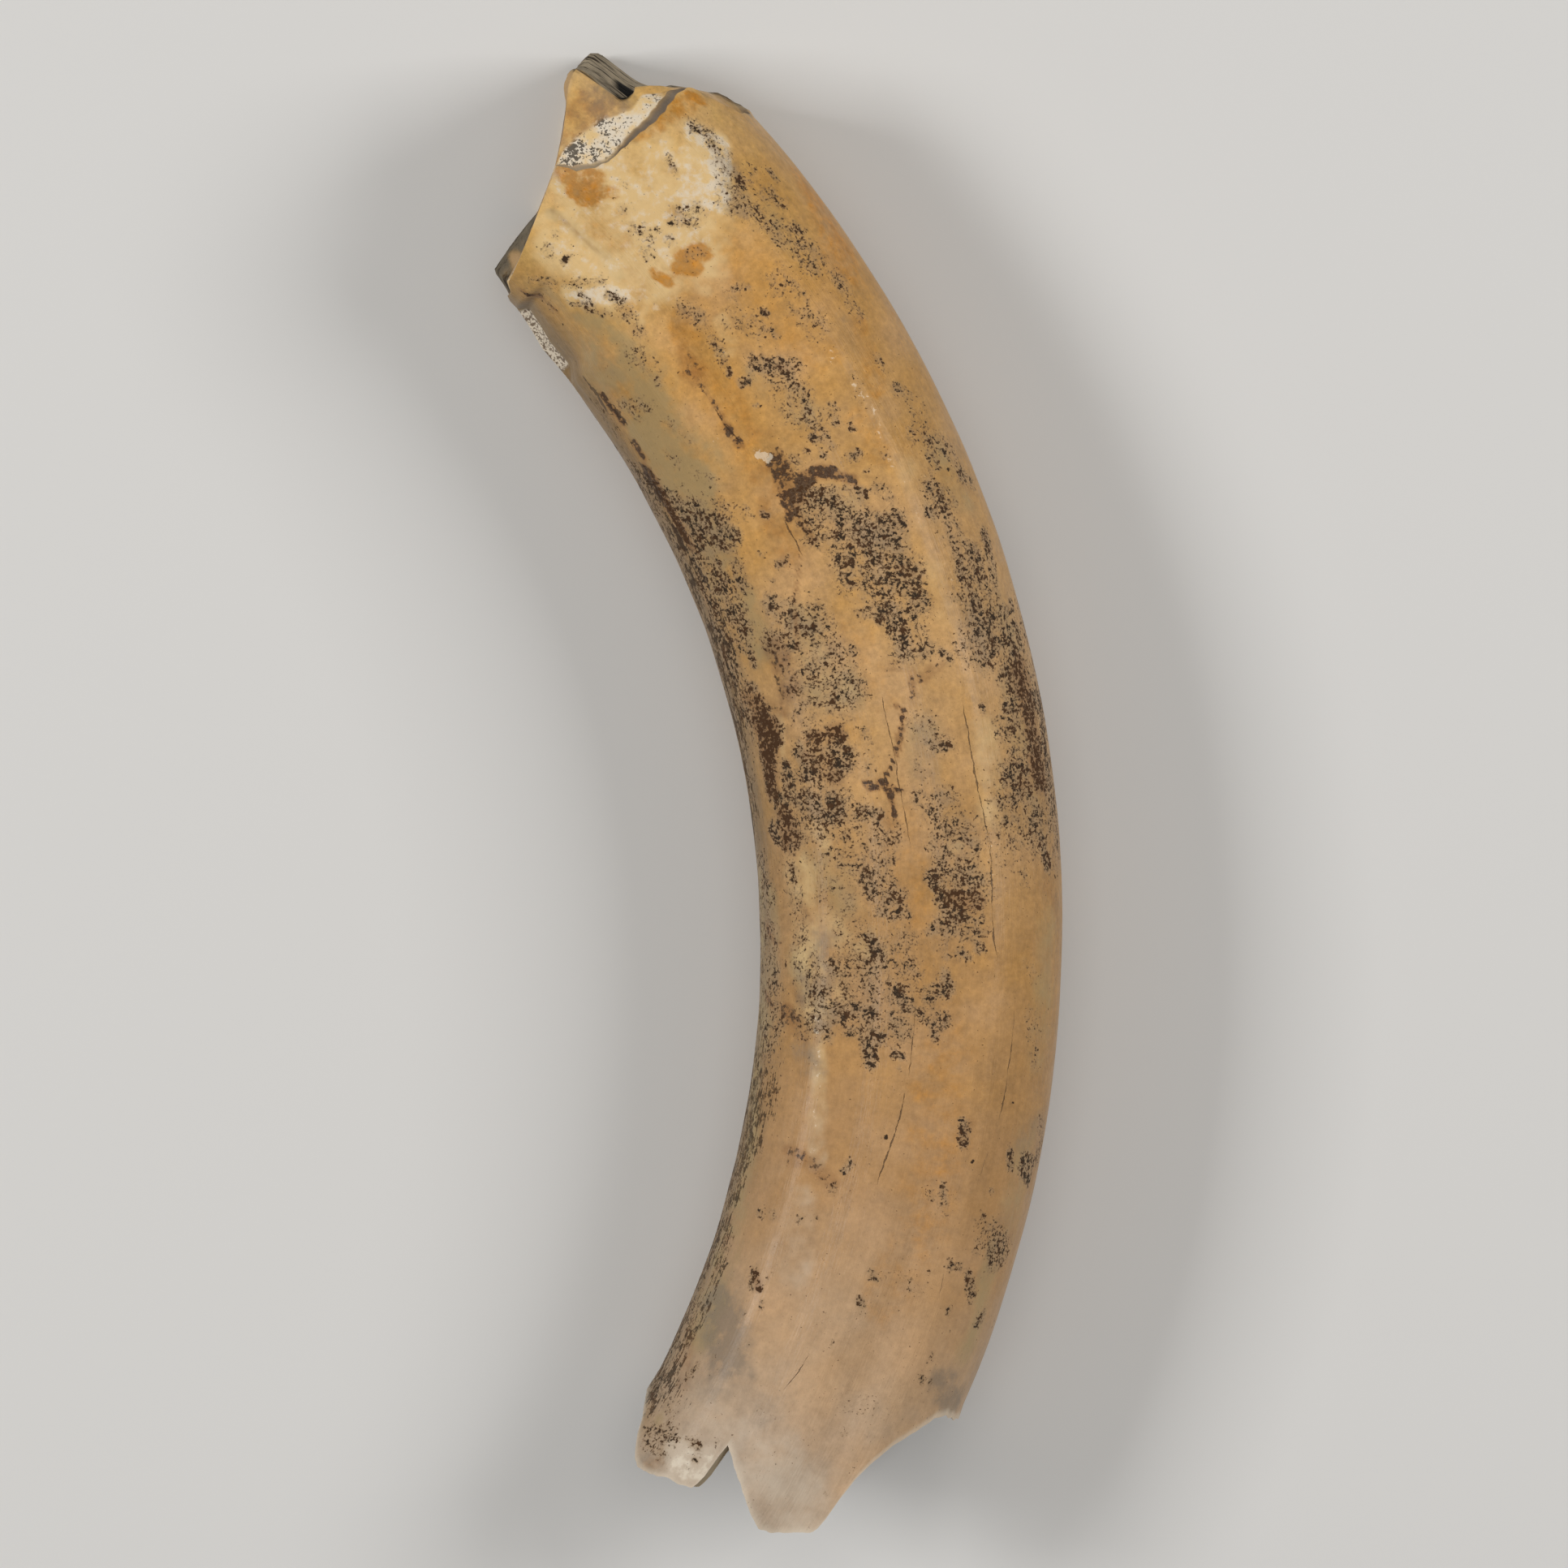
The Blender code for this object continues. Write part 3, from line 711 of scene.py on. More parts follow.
SPECKLES_ROOT = (
    (13, 1.1, 1243, 1420, 1245, 1434), (22, 1.1, 1262, 1430, 1279, 1425),
    (17, 1.3, 1259, 1440, 1268, 1451), (20, 0.65, 1282, 1382, 1284, 1412),
    (24, 0.4, 1270, 1250, 1275, 1310), (20, 0.35, 1262, 1190, 1280, 1200),
    (9, 1.2, 1039, 1438, 1045, 1437), (8, 1.0, 1073, 1429), (8, 1.0, 1047, 1427), (12, 0.9, 1025, 1461),
    (14, 1.1, 1186, 1380, 1187, 1404), (10, 0.9, 1160, 1454, 1163, 1490),
    (30, 0.42, 1150, 1462, 1162, 1484), (12, 0.7, 1220, 1465), (26, 0.85, 1210, 1505, 1238, 1526),
    (34, 0.75, 1208, 1535, 1236, 1545), (14, 0.9, 1170, 1556, 1182, 1560),
    (14, 1.1, 1193, 1568, 1197, 1598), (12, 0.8, 1168, 1612), (14, 1.15, 1204, 1628, 1210, 1620),
    (9, 1.0, 1224, 1630), (14, 1.2, 929, 1564, 934, 1585), (10, 1.2, 924, 1583, 938, 1582),
    (9, 1.0, 946, 1573), (8, 1.0, 918, 1614), (8, 1.0, 937, 1606), (10, 1.0, 1072, 1562, 1078, 1570),
    (10, 1.1, 1059, 1598, 1062, 1612), (9, 0.9, 1116, 1572, 1122, 1582), (8, 1.0, 1027, 1650),
    (9, 0.9, 1148, 1668), (11, 0.95, 1136, 1696), (8, 1.0, 1146, 1701), (12, 1.0, 846, 1690, 852, 1686),
    (9, 0.9, 858, 1680), (9, 0.8, 879, 1668), (12, 0.7, 874, 1574), (24, 0.75, 798, 1758, 828, 1762),
    (22, 0.7, 798, 1774, 816, 1786), (13, 0.9, 835, 1770), (14, 1.0, 848, 1770, 862, 1778),
    (10, 0.95, 855, 1786, 860, 1791), (8, 0.9, 884, 1772), (18, 0.55, 822, 1728, 830, 1740),
    (9, 0.8, 1040, 1761), (10, 0.9, 1018, 1832), (10, 0.6, 938, 1730), (12, 0.5, 955, 1742),
    (30, 0.3, 1090, 1570, 1130, 1580), (30, 0.3, 1040, 1720, 1080, 1735), (14, 0.7, 935, 1490, 952, 1495),
    (12, 0.7, 985, 1500), (10, 0.6, 1003, 1498),
)
SPECKLES = (
    SPECKLES_TIP + SPECKLES_UPPER + SPECKLES_CLUSTER + SPECKLES_LEFT + SPECKLES_MIDDLE
    + SPECKLES_LOWER + SPECKLES_ROOT
)
print(len(SPECKLES), "strokes of speckles")

# %% Strokes of the other stains
PALE = (
    (120, 0.8, 730, 225, 840, 300), (90, 0.7, 700, 300, 800, 365), (70, 0.75, 812, 195, 845, 250),
    (34, 1.1, 856, 168, 884, 182), (36, 1.1, 887, 200, 884, 250), (60, 0.85, 856, 205, 850, 250),
    (66, 0.75, 690, 312, 740, 338), (32, 1.1, 704, 368, 766, 367), (50, 0.7, 760, 305, 806, 320),
    (20, 1.0, 704, 203, 738, 203), (14, 1.0, 686, 218, 690, 240), (60, 0.5, 770, 190, 800, 175),
    (20, 0.5, 840, 358, 870, 362), (16, 0.6, 885, 440, 900, 438), (24, 0.5, 890, 400, 900, 430),
    # The first two strokes on the next line and the first stroke two lines below follow the ridges:
    # painted highlight.
    (34, 0.28, 1118, 580, 1138, 640), (30, 0.3, 1150, 700, 1165, 760), (46, 0.4, 1215, 900, 1222, 1000),
    (44, 0.4, 1010, 1130, 1050, 1170), (30, 0.4, 1030, 1195, 1035, 1220),
    (26, 0.45, 1004, 1250, 1006, 1430), (50, 0.35, 985, 1480, 975, 1560), (90, 0.5, 950, 1800, 985, 1850),
    (36, 1.1, 838, 1796, 858, 1806), (30, 0.8, 830, 1778, 870, 1790), (60, 0.35, 860, 1730, 900, 1760),
    (40, 0.35, 1010, 815, 1040, 850), (30, 0.4, 975, 920, 1000, 935), (26, 0.5, 1005, 1020, 1015, 1035),
    (24, 0.4, 1175, 1040), (24, 0.35, 905, 920, 925, 1000), (14, 0.5, 960, 885, 965, 930),
    (56, 0.5, 985, 1075, 1000, 1240),
)
ORANGE = (
    (90, 0.6, 735, 150, 700, 185), (28, 1.0, 702, 222, 734, 226), (18, 1.1, 706, 240, 756, 243),
    (13, 1.0, 718, 254, 734, 254), (70, 0.6, 1000, 235, 1040, 320), (22, 1.25, 842, 320, 866, 314),
    (18, 1.2, 836, 334, 858, 336), (14, 1.0, 808, 342, 824, 352), (14, 1.0, 850, 122, 868, 128),
    (30, 0.7, 824, 142, 846, 132), (20, 0.6, 780, 172, 812, 162), (80, 0.3, 915, 310, 950, 380),
    (40, 0.5, 838, 400, 856, 455), (50, 0.4, 885, 480, 925, 560), (40, 0.4, 1060, 520, 1085, 560),
    (30, 0.45, 1060, 400, 1080, 480), (60, 0.35, 960, 400, 1010, 440), (40, 0.4, 740, 285, 760, 300),
    (60, 0.35, 950, 600, 965, 680), (50, 0.3, 1050, 780, 1085, 860), (60, 0.35, 1110, 1010, 1125, 1120),
    (60, 0.3, 1120, 1180, 1180, 1300), (80, 0.35, 1155, 1300, 1140, 1500),
    (70, 0.3, 1130, 1500, 1090, 1600), (22, 0.5, 800, 1800, 812, 1798), (10, 1.0, 1100, 386),
)
OLIVE = (
    (70, 0.6, 925, 1050, 935, 1280), (60, 0.7, 905, 1480, 860, 1640), (50, 0.6, 930, 1300, 918, 1440),
    (100, 0.85, 735, 420, 800, 520), (90, 0.85, 800, 520, 852, 600), (70, 0.8, 852, 610, 890, 720),
    (50, 0.7, 905, 730, 935, 800), (13, 1.1, 682, 267, 702, 279, 724, 300, 747, 320, 764, 344),
    (40, 0.5, 990, 760, 1010, 860), (40, 0.5, 1040, 830, 1050, 860), (44, 0.5, 1000, 620, 1050, 630),
    (44, 0.5, 1140, 900, 1140, 950), (60, 0.45, 1005, 1060, 1060, 1170), (40, 0.6, 985, 1180, 990, 1220),
    (40, 0.5, 1150, 560, 1190, 620), (30, 0.5, 1225, 720, 1250, 800), (60, 0.4, 1255, 860, 1275, 1000),
    (50, 0.4, 1290, 1130, 1280, 1300), (50, 0.5, 1265, 1400, 1240, 1520),
    (40, 0.5, 1225, 1540, 1190, 1660), (40, 0.6, 850, 268), (30, 0.5, 945, 250, 965, 300),
    (50, 0.4, 940, 470, 990, 510), (30, 0.6, 950, 1100, 950, 1200), (30, 0.5, 935, 1300, 920, 1420),
    (24, 0.6, 812, 1745), (30, 0.6, 655, 355, 690, 385),
)
BROWN = (
    (34, 0.62, 846, 440, 860, 472), (7, 0.75, 850, 456, 862, 475, 880, 500, 897, 529, 914, 552),
    (14, 0.95, 897, 532, 912, 550), (18, 0.45, 926, 535, 950, 536), (26, 1.1, 956, 566, 964, 590),
    (18, 1.1, 962, 590, 970, 622), (14, 1.5, 966, 610, 984, 614), (10, 1.4, 974, 618, 972, 640),
    (16, 1.6, 984, 610, 990, 594, 1005, 584), (15, 1.5, 1005, 584, 1026, 584),
    (12, 1.3, 1022, 585, 1052, 594), (60, 0.45, 952, 590, 975, 680),
    (12, 0.9, 974, 626, 988, 646, 1000, 668), (6, 0.8, 985, 690, 979, 740, 982, 800),
    (40, 0.7, 955, 805, 968, 855), (26, 0.7, 920, 862, 962, 874), (40, 1.25, 938, 888, 950, 915),
    (28, 1.1, 945, 930, 950, 975), (30, 0.85, 966, 1004, 972, 1034), (22, 0.85, 1000, 911, 1032, 903),
    (30, 0.55, 1000, 930, 1030, 956), (6, 1.3, 1104, 872, 1113, 875),
    (6, 1.5, 1112, 878, 1109, 904, 1104, 926, 1096, 946, 1088, 960),
    (9, 1.5, 1088, 960, 1078, 970, 1066, 967), (8, 1.2, 1084, 966, 1108, 974),
    (9, 1.4, 1090, 968, 1098, 985, 1101, 1006), (20, 0.4, 1090, 1005, 1100, 1015),
    (10, 0.85, 1122, 830, 1124, 862), (16, 0.7, 1134, 836, 1156, 819), (14, 0.75, 1096, 825, 1104, 822),
    (28, 0.75, 1174, 1108, 1198, 1112), (22, 0.55, 1262, 968, 1285, 966), (40, 0.9, 1258, 830, 1280, 960),
    (18, 0.5, 1290, 1092, 1300, 1112), (9, 1.0, 943, 1140, 949, 1156, 960, 1163),
    (10, 1.1, 943, 1226, 950, 1238), (26, 1.0, 966, 1244, 982, 1254), (24, 0.55, 975, 1265, 1000, 1276),
    (16, 0.5, 980, 1215, 985, 1235), (16, 0.75, 968, 1414, 988, 1420), (30, 0.45, 850, 1640, 842, 1700),
    (24, 0.6, 975, 1424, 1000, 1432), (22, 0.72, 1003, 1432, 1024, 1454),
    (12, 0.75, 1022, 1458, 1029, 1460), (12, 1.2, 741, 488, 753, 505, 767, 524),
    (13, 1.1, 780, 548, 792, 566), (18, 1.35, 795, 580, 811, 606, 825, 632),
    (14, 1.2, 832, 642, 850, 676), (5, 0.5, 682, 264, 702, 281, 724, 302, 747, 322),
    (9, 1.1, 640, 363, 660, 376), (7, 0.8, 648, 372, 680, 392), (12, 0.55, 1183, 1398, 1196, 1380),
    (12, 0.8, 930, 1566, 936, 1584), (10, 0.5, 955, 455, 975, 458), (12, 0.5, 1108, 700, 1122, 710),
)
GREY = (
    # The first two strokes on the next line grey the tip's tan face beside its hollow: partly grey stain,
    # partly painted shade.
    (80, 0.6, 740, 150, 705, 190), (50, 0.9, 745, 112, 762, 124), (14, 1.6, 868, 117, 895, 125, 921, 139),
    (30, 0.8, 800, 1796, 812, 1798), (38, 0.6, 904, 215, 910, 256), (40, 0.4, 1040, 402, 1058, 432),
    (50, 0.6, 850, 640, 882, 672), (60, 0.45, 962, 765, 1010, 800), (50, 0.6, 955, 805, 972, 860),
    (50, 0.4, 1010, 822, 1030, 860), (36, 0.4, 1140, 890, 1138, 950), (36, 0.5, 1190, 1030, 1184, 1090),
    (40, 0.7, 1010, 1160, 1015, 1262), (26, 0.8, 986, 1198, 990, 1232), (34, 0.65, 985, 1290, 1002, 1312),
    (22, 0.5, 1165, 985), (56, 0.5, 1202, 755, 1214, 800), (50, 0.35, 1248, 985, 1270, 1000),
    (70, 1.3, 884, 1600, 896, 1665), (50, 0.5, 852, 1685, 884, 1705), (40, 1.0, 1160, 1700, 1176, 1728),
    (34, 0.8, 1066, 665, 1100, 668), (30, 0.6, 992, 985, 1028, 1000), (30, 0.45, 1180, 560, 1190, 600),
    (60, 0.3, 690, 430, 760, 480), (40, 0.5, 1285, 1385, 1262, 1400), (40, 0.4, 1240, 1500, 1215, 1560),
    (40, 0.35, 945, 1120, 950, 1200),
)
STREAKS = (
    (22, 0.8, 728, 492, 790, 602, 830, 680), (34, 1.2, 845, 705, 880, 800, 903, 890, 918, 960, 928, 1040),
    (26, 0.9, 930, 1060, 934, 1200), (90, 0.9, 780, 590, 840, 700, 880, 800, 905, 900, 924, 1000),
    (100, 0.8, 930, 1060, 936, 1200, 932, 1300),
    (130, 1.05, 930, 1330, 915, 1400, 895, 1460, 878, 1505, 862, 1550, 830, 1640, 806, 1710),
    (26, 0.5, 690, 470, 720, 500), (20, 0.7, 735, 500, 775, 550), (22, 0.9, 780, 575, 815, 625),
    (32, 1.1, 820, 640, 850, 690), (36, 1.15, 852, 700, 872, 740), (46, 1.1, 885, 770, 905, 850),
    (36, 1.0, 905, 860, 915, 920), (26, 0.8, 920, 950, 930, 1050), (34, 0.7, 945, 1080, 950, 1200),
    (22, 0.9, 938, 1240, 934, 1350), (40, 1.1, 930, 1375, 905, 1470), (44, 1.1, 900, 1480, 885, 1560),
    (40, 1.1, 880, 1570, 850, 1640), (32, 1.1, 845, 1650, 820, 1720), (14, 0.4, 1300, 1140, 1302, 1220),
    (16, 0.5, 1190, 670, 1225, 780), (16, 0.4, 1270, 900, 1280, 960),
)
# Small pale chips, and thin lines along the two ridges that are painted glints of highlight
FLECKS_AND_GLINTS = (
    (13, 3.0, 934, 562, 947, 566), (7, 1.6, 888, 436, 894, 438), (7, 1.6, 881, 545, 886, 547),
    (12, 0.9, 1022, 436, 1026, 446), (12, 0.9, 1042, 470, 1062, 488), (12, 0.9, 1070, 490, 1098, 575),
    (14, 0.7, 1118, 600, 1140, 655), (14, 0.7, 1135, 585, 1142, 600), (14, 0.7, 1172, 730, 1190, 760),
    (10, 0.9, 1004, 1245, 1008, 1340), (10, 0.8, 1004, 1340, 1000, 1440), (12, 0.8, 1165, 700, 1172, 720),
    (12, 0.8, 1215, 1030, 1224, 1080), (10, 0.7, 930, 1500, 990, 1490), (30, 0.5, 990, 925, 1010, 935),
    (22, 0.6, 690, 355, 770, 362), (40, 0.5, 950, 262, 990, 290), (26, 0.6, 840, 358, 880, 362),
)
print(sum(len(strokes) for strokes in (PALE, ORANGE, OLIVE, BROWN, GREY, STREAKS, FLECKS_AND_GLINTS)), "more")

# %% [markdown]
# ### From strokes to soft fields
#
# Each stroke gives a value from 0 to its strength at every point of the skin, by the distance over
# the surface to its line. A slow wobble of that distance frays its outline. The side that the
# photograph doesn't show gets strokes of the same kind, strewn by a seeded generator.

# %% Spread the strokes over the skin
FRAY = 0.3
FAR_AWAY = 99.0
SEEN_SHARE = 0.30
HIDDEN_SPREAD = 0.13
HIDDEN_START = -55.0
HIDDEN_END = 86.0

# For each stain its strokes and their softness, then how many strokes are strewn over the hidden
# side, their size in millimetres and their strength
STAINS = {
    "speckles": (SPECKLES, 1.4, 44, 2.6, 1.2),
    "pale": (PALE, 1.2, 12, 3.5, 0.7),
    "orange": (ORANGE, 0.9, 8, 2.4, 0.7),
    "olive": (OLIVE, 1.6, 16, 4.5, 0.7),
    "brown": (BROWN, 1.1, 16, 1.4, 0.9),
    "grey": (GREY, 1.6, 12, 3.5, 0.6),
    "streaks": (STREAKS, 0.9, 16, 2.6, 0.8),
    "flecks": (FLECKS_AND_GLINTS, 0.9, 0, 0.0, 0.0),
}
hidden_stains = np.random.default_rng(31)
wobble = rough(straight, 3.2, seed=17.0) + 0.8 * rough(straight, 1.2, seed=23.0)
seen_side = np.abs(around) < girth * SEEN_SHARE


def way_to(line):
    """The distance over the surface from every point of the skin to a row of corners."""
    nearest = np.full(around.shape, FAR_AWAY)
    for start, end in zip(line, np.concatenate([line[1:], line[-1:]])):
        step = end - start
        sideways = (around - start[0] + girth / 2.0) % girth - girth / 2.0
        onward = along - start[1]
        share = np.clip((sideways * step[0] + onward * step[1]) / max(step @ step, 1e-9), 0.0, 1.0)
        nearest = np.minimum(nearest, np.hypot(sideways - share * step[0], onward - share * step[1]))
    return nearest


def brushed(line, half_breadth, softness=0.9):
    """One stroke of the brush with a frayed edge, 1 at its middle."""
    reach = way_to(line) / half_breadth + FRAY * wobble
    return eased((1.0 + softness / 2.0 - reach) / softness)


def painted(strokes, softness):
    """The strongest stroke at each point of the skin."""
    field = np.zeros(around.shape)
    for breadth, strength, *corners in strokes:
        pixels = np.array(corners, float).reshape(-1, 2)
        line = np.stack(surface_at(pixels[:, 0], pixels[:, 1]), axis=-1)
        one = brushed(line, breadth * PHOTO_MM / 2.0, softness)
        field = np.maximum(field, strength * one)
    return field


def strewn(count, size, strength):
    """Seeded strokes for the side that the photograph doesn't show."""
    field = np.zeros(around.shape)
    for _ in range(count):
        sideways = girth / 2.0 + hidden_stains.normal(0.0, girth * HIDDEN_SPREAD)
        start = np.array([sideways, hidden_stains.uniform(HIDDEN_START, HIDDEN_END)])
        step = size * np.array([hidden_stains.normal(0.0, 0.5), hidden_stains.uniform(0.5, 3.0)])
        half_breadth = size * hidden_stains.uniform(0.4, 1.0)
        one = brushed(np.array([start, start + step]), half_breadth)
        field = np.maximum(field, strength * hidden_stains.uniform(0.5, 1.0) * one)
    return field * ~seen_side


fields = {}
for name, (strokes, softness, *hidden) in STAINS.items():
    fields[name] = np.maximum(painted(strokes, softness), strewn(*hidden))
    print(name, "covers", round(float((fields[name] > 0.3).mean()) * 100.0), "% of the points")

# %% [markdown]
# ### Cracks
#
# Hairline cracks run along the fibres. Each is a short row of pixels of the photograph, from the
# tip's end to the root's end. A point of the skin then keeps its signed distance to the nearest
# crack: the material draws a line where that passes through zero, far finer than the mesh itself.
# Two sets keep neighbouring cracks apart.

# %% Signed distances to the cracks
CRACK_REACH = 1.6
CRACK_TAPER = 2.0
NO_CRACK = 9.0

# Half the crack's width in millimetres, then the x and y of its pixels
FINE_CRACKS = (
    (0.10, 878, 503, 897, 530, 916, 553),
    (0.08, 1084, 854, 1089, 880, 1097, 908, 1105, 960, 1113, 1000, 1122, 1048),
    (0.10, 1183, 860, 1190, 895, 1197, 940, 1203, 968, 1212, 1015, 1218, 1036),
    (0.14, 1218, 1034, 1221, 1080, 1221, 1122),
    (0.09, 1221, 1120, 1222, 1155, 1229, 1182),
    (0.06, 1128, 1236, 1122, 1290, 1118, 1330),
    (0.12, 1115, 1338, 1108, 1370, 1100, 1400, 1088, 1430, 1078, 1460),
    (0.07, 1249, 1240, 1245, 1290, 1240, 1330),
    (0.12, 1240, 1326, 1236, 1352, 1230, 1378),
    (0.09, 1219, 1412, 1212, 1430, 1205, 1450),
    (0.06, 1001, 1660, 985, 1682, 962, 1712),
    (0.06, 1163, 1562, 1158, 1590, 1154, 1602),
)
DARK_CRACKS = (
    (0.13, 963, 637, 975, 660, 990, 690),
    (0.09, 1127, 764, 1131, 784, 1137, 802),
    (0.45, 715, 463, 737, 490, 752, 518),
    (0.80, 752, 498, 762, 512, 774, 528),
    (0.50, 770, 538, 780, 554),
    (0.95, 784, 566, 804, 602, 820, 632),
    (0.55, 820, 636, 833, 660, 850, 690),
    (0.50, 851, 690, 867, 714, 875, 734),
    (0.10, 938, 1290, 941, 1312, 940, 1330),
    (0.14, 936, 1316, 935, 1350),
)


def crack_fields(cracks):
    """The signed distance to the nearest crack, and half its width there, in millimetres."""
    offset = np.full(around.shape, NO_CRACK)
    half_width = np.zeros(around.shape)
    for widest, *corners in cracks:
        line = sorted(surface_at(x, y)[::-1] for x, y in zip(corners[::2], corners[1::2]))
        line_along, line_around = np.array(line, float).T
        here = around - np.interp(along, line_along, line_around)
        ends = past(along, line_along[0], CRACK_TAPER) * short_of(along, line_along[-1], CRACK_TAPER)
        fade = short_of(np.abs(here), CRACK_REACH, 0.7)
        closer = (ends * fade > 0.0) & (np.abs(here) < np.abs(offset))
        offset = np.where(closer, here, offset)
        half_width = np.where(closer, widest * ends * fade, half_width)
    return offset, half_width


fields["fine_crack"], fields["fine_crack_width"] = crack_fields(FINE_CRACKS)
fields["dark_crack"], fields["dark_crack_width"] = crack_fields(DARK_CRACKS)
print(len(FINE_CRACKS), "fine cracks and", len(DARK_CRACKS), "dark ones")

# %% [markdown]
# ### Zones of the ends
#
# The two broken ends need finishes of their own. The rows of the skin tell which is which: the
# cavity, the broken wall round it, and at the tip the dark ledge, the chalky band, the worn face
# and the fibrous break. One more field is how deep below the old surface a point of the tip lies,
# because a worn tooth shows its layers as rings.

# %% Mark the zones
SPLINTERED_HALF_WIDTH = 6.4
CHALK_END = 11.5
BARED_LOW = 8.0
BARED_HEIGHT = 1.5

tip_share = np.ones(row_count)
tip_share[-len(TIP_SHARES):] = TIP_SHARES
tip_depth = (1.0 - tip_share)[:, None] * FLUTED_HEIGHT + 0.0 * across
at_tip = row_number > last_outside
at_upper_tip = at_tip * upper_share(section(turns, TIP_END)[1][None, :])

fields["cavity"] = short_of(row_number, first_outside - WALL_ROWS, 2.0)
fields["wall"] = short_of(row_number, first_outside, 1.0) * (1.0 - fields["cavity"])
fields["rim"] = outside * short_of(along, root_rim(turns)[None, :] + 1.0, 0.8)
fields["ledge"] = at_upper_tip * short_of(tip_depth, LEDGE_DEPTH + 0.02, 0.03)
chalk_end = short_of(tip_depth, CHALK_DEPTH + 0.01, 0.03) * short_of(across, CHALK_END, 1.0)
fields["chalk"] = at_upper_tip * past(tip_depth, LEDGE_DEPTH, 0.05) * chalk_end

flake = short_of(across - 1.2 * wobble, -SPLINTERED_HALF_WIDTH, 1.0)
flake = flake * short_of(height - 1.2 * wobble, WIDEST_LEVEL - 0.6, 1.0)
splintered = np.maximum(past(across + 0.9 * wobble, SPLINTERED_HALF_WIDTH, 0.8), flake)
below_the_layers = at_tip - at_upper_tip * short_of(tip_depth, INNER_DEPTH + 0.08, 0.15)
fields["fibrous"] = below_the_layers * splintered
fields["worn"] = below_the_layers * (1.0 - splintered)
# Where the hollow at the tip is painted black, as painted shadow.
fields["hole"] = at_tip * swell(across - HOLE_ACROSS, 1.2) * swell(along - HOLE_ALONG, 0.9)
fields["tip_depth"] = tip_depth * at_tip

bared = short_of(height, SHELF_LEVEL + BARED_HEIGHT, 0.8) * past(height + 2.5 * wobble, BARED_LOW, 1.5)
bared = bared * past(along + 2.5 * wobble, SHELF_START + 1.0, 1.5) * before_shelf_end
fields["shelf"] = bared * concave_side

for name, field in fields.items():
    attribute = mesh.attributes.new(name, "FLOAT", "POINT")
    values = np.broadcast_to(field, around.shape).reshape(-1)[numbers]
    attribute.data.foreach_set("value", values.astype(np.float32))
attribute = mesh.attributes.new("straight", "FLOAT_VECTOR", "POINT")
attribute.data.foreach_set("vector", straight.reshape(-1, 3)[numbers].astype(np.float32).ravel())
print(len(mesh.attributes), "attributes on the mesh")

# %% [markdown]
# ## Writing a material as sums
#
# A node tree is easier to read as a formula. The class below wraps a socket, so that
# `1 - mask * 0.5` adds its Math nodes by itself, and one method adds every other kind of node.

# %% Wires and nodes


def sign(operation, turned=False):
    """Makes a sign of a sum, which adds one Math node. Turned, the wire stands after the sign."""

    def add_node(wire, other):
        first, second = (other, wire) if turned else (wire, other)
        return wire.finish.node("ShaderNodeMath", {"operation": operation}, {0: first, 1: second})

    return add_node


class Wire:
    """A node's output that can stand in a sum. The signs | and & keep the larger and the smaller."""

    __add__, __radd__ = sign("ADD"), sign("ADD", turned=True)
    __sub__, __rsub__ = sign("SUBTRACT"), sign("SUBTRACT", turned=True)
    __mul__, __rmul__ = sign("MULTIPLY"), sign("MULTIPLY", turned=True)
    __or__, __and__ = sign("MAXIMUM"), sign("MINIMUM")

    def __init__(self, finish, socket):
        self.finish = finish
        self.socket = socket

    def __abs__(self):
        return sign("ABSOLUTE")(self, 0.0)

    def swing(self, amount):
        """A noise's swing to both sides of its middle, made as large as the given amount."""
        return (self - 0.5) * amount


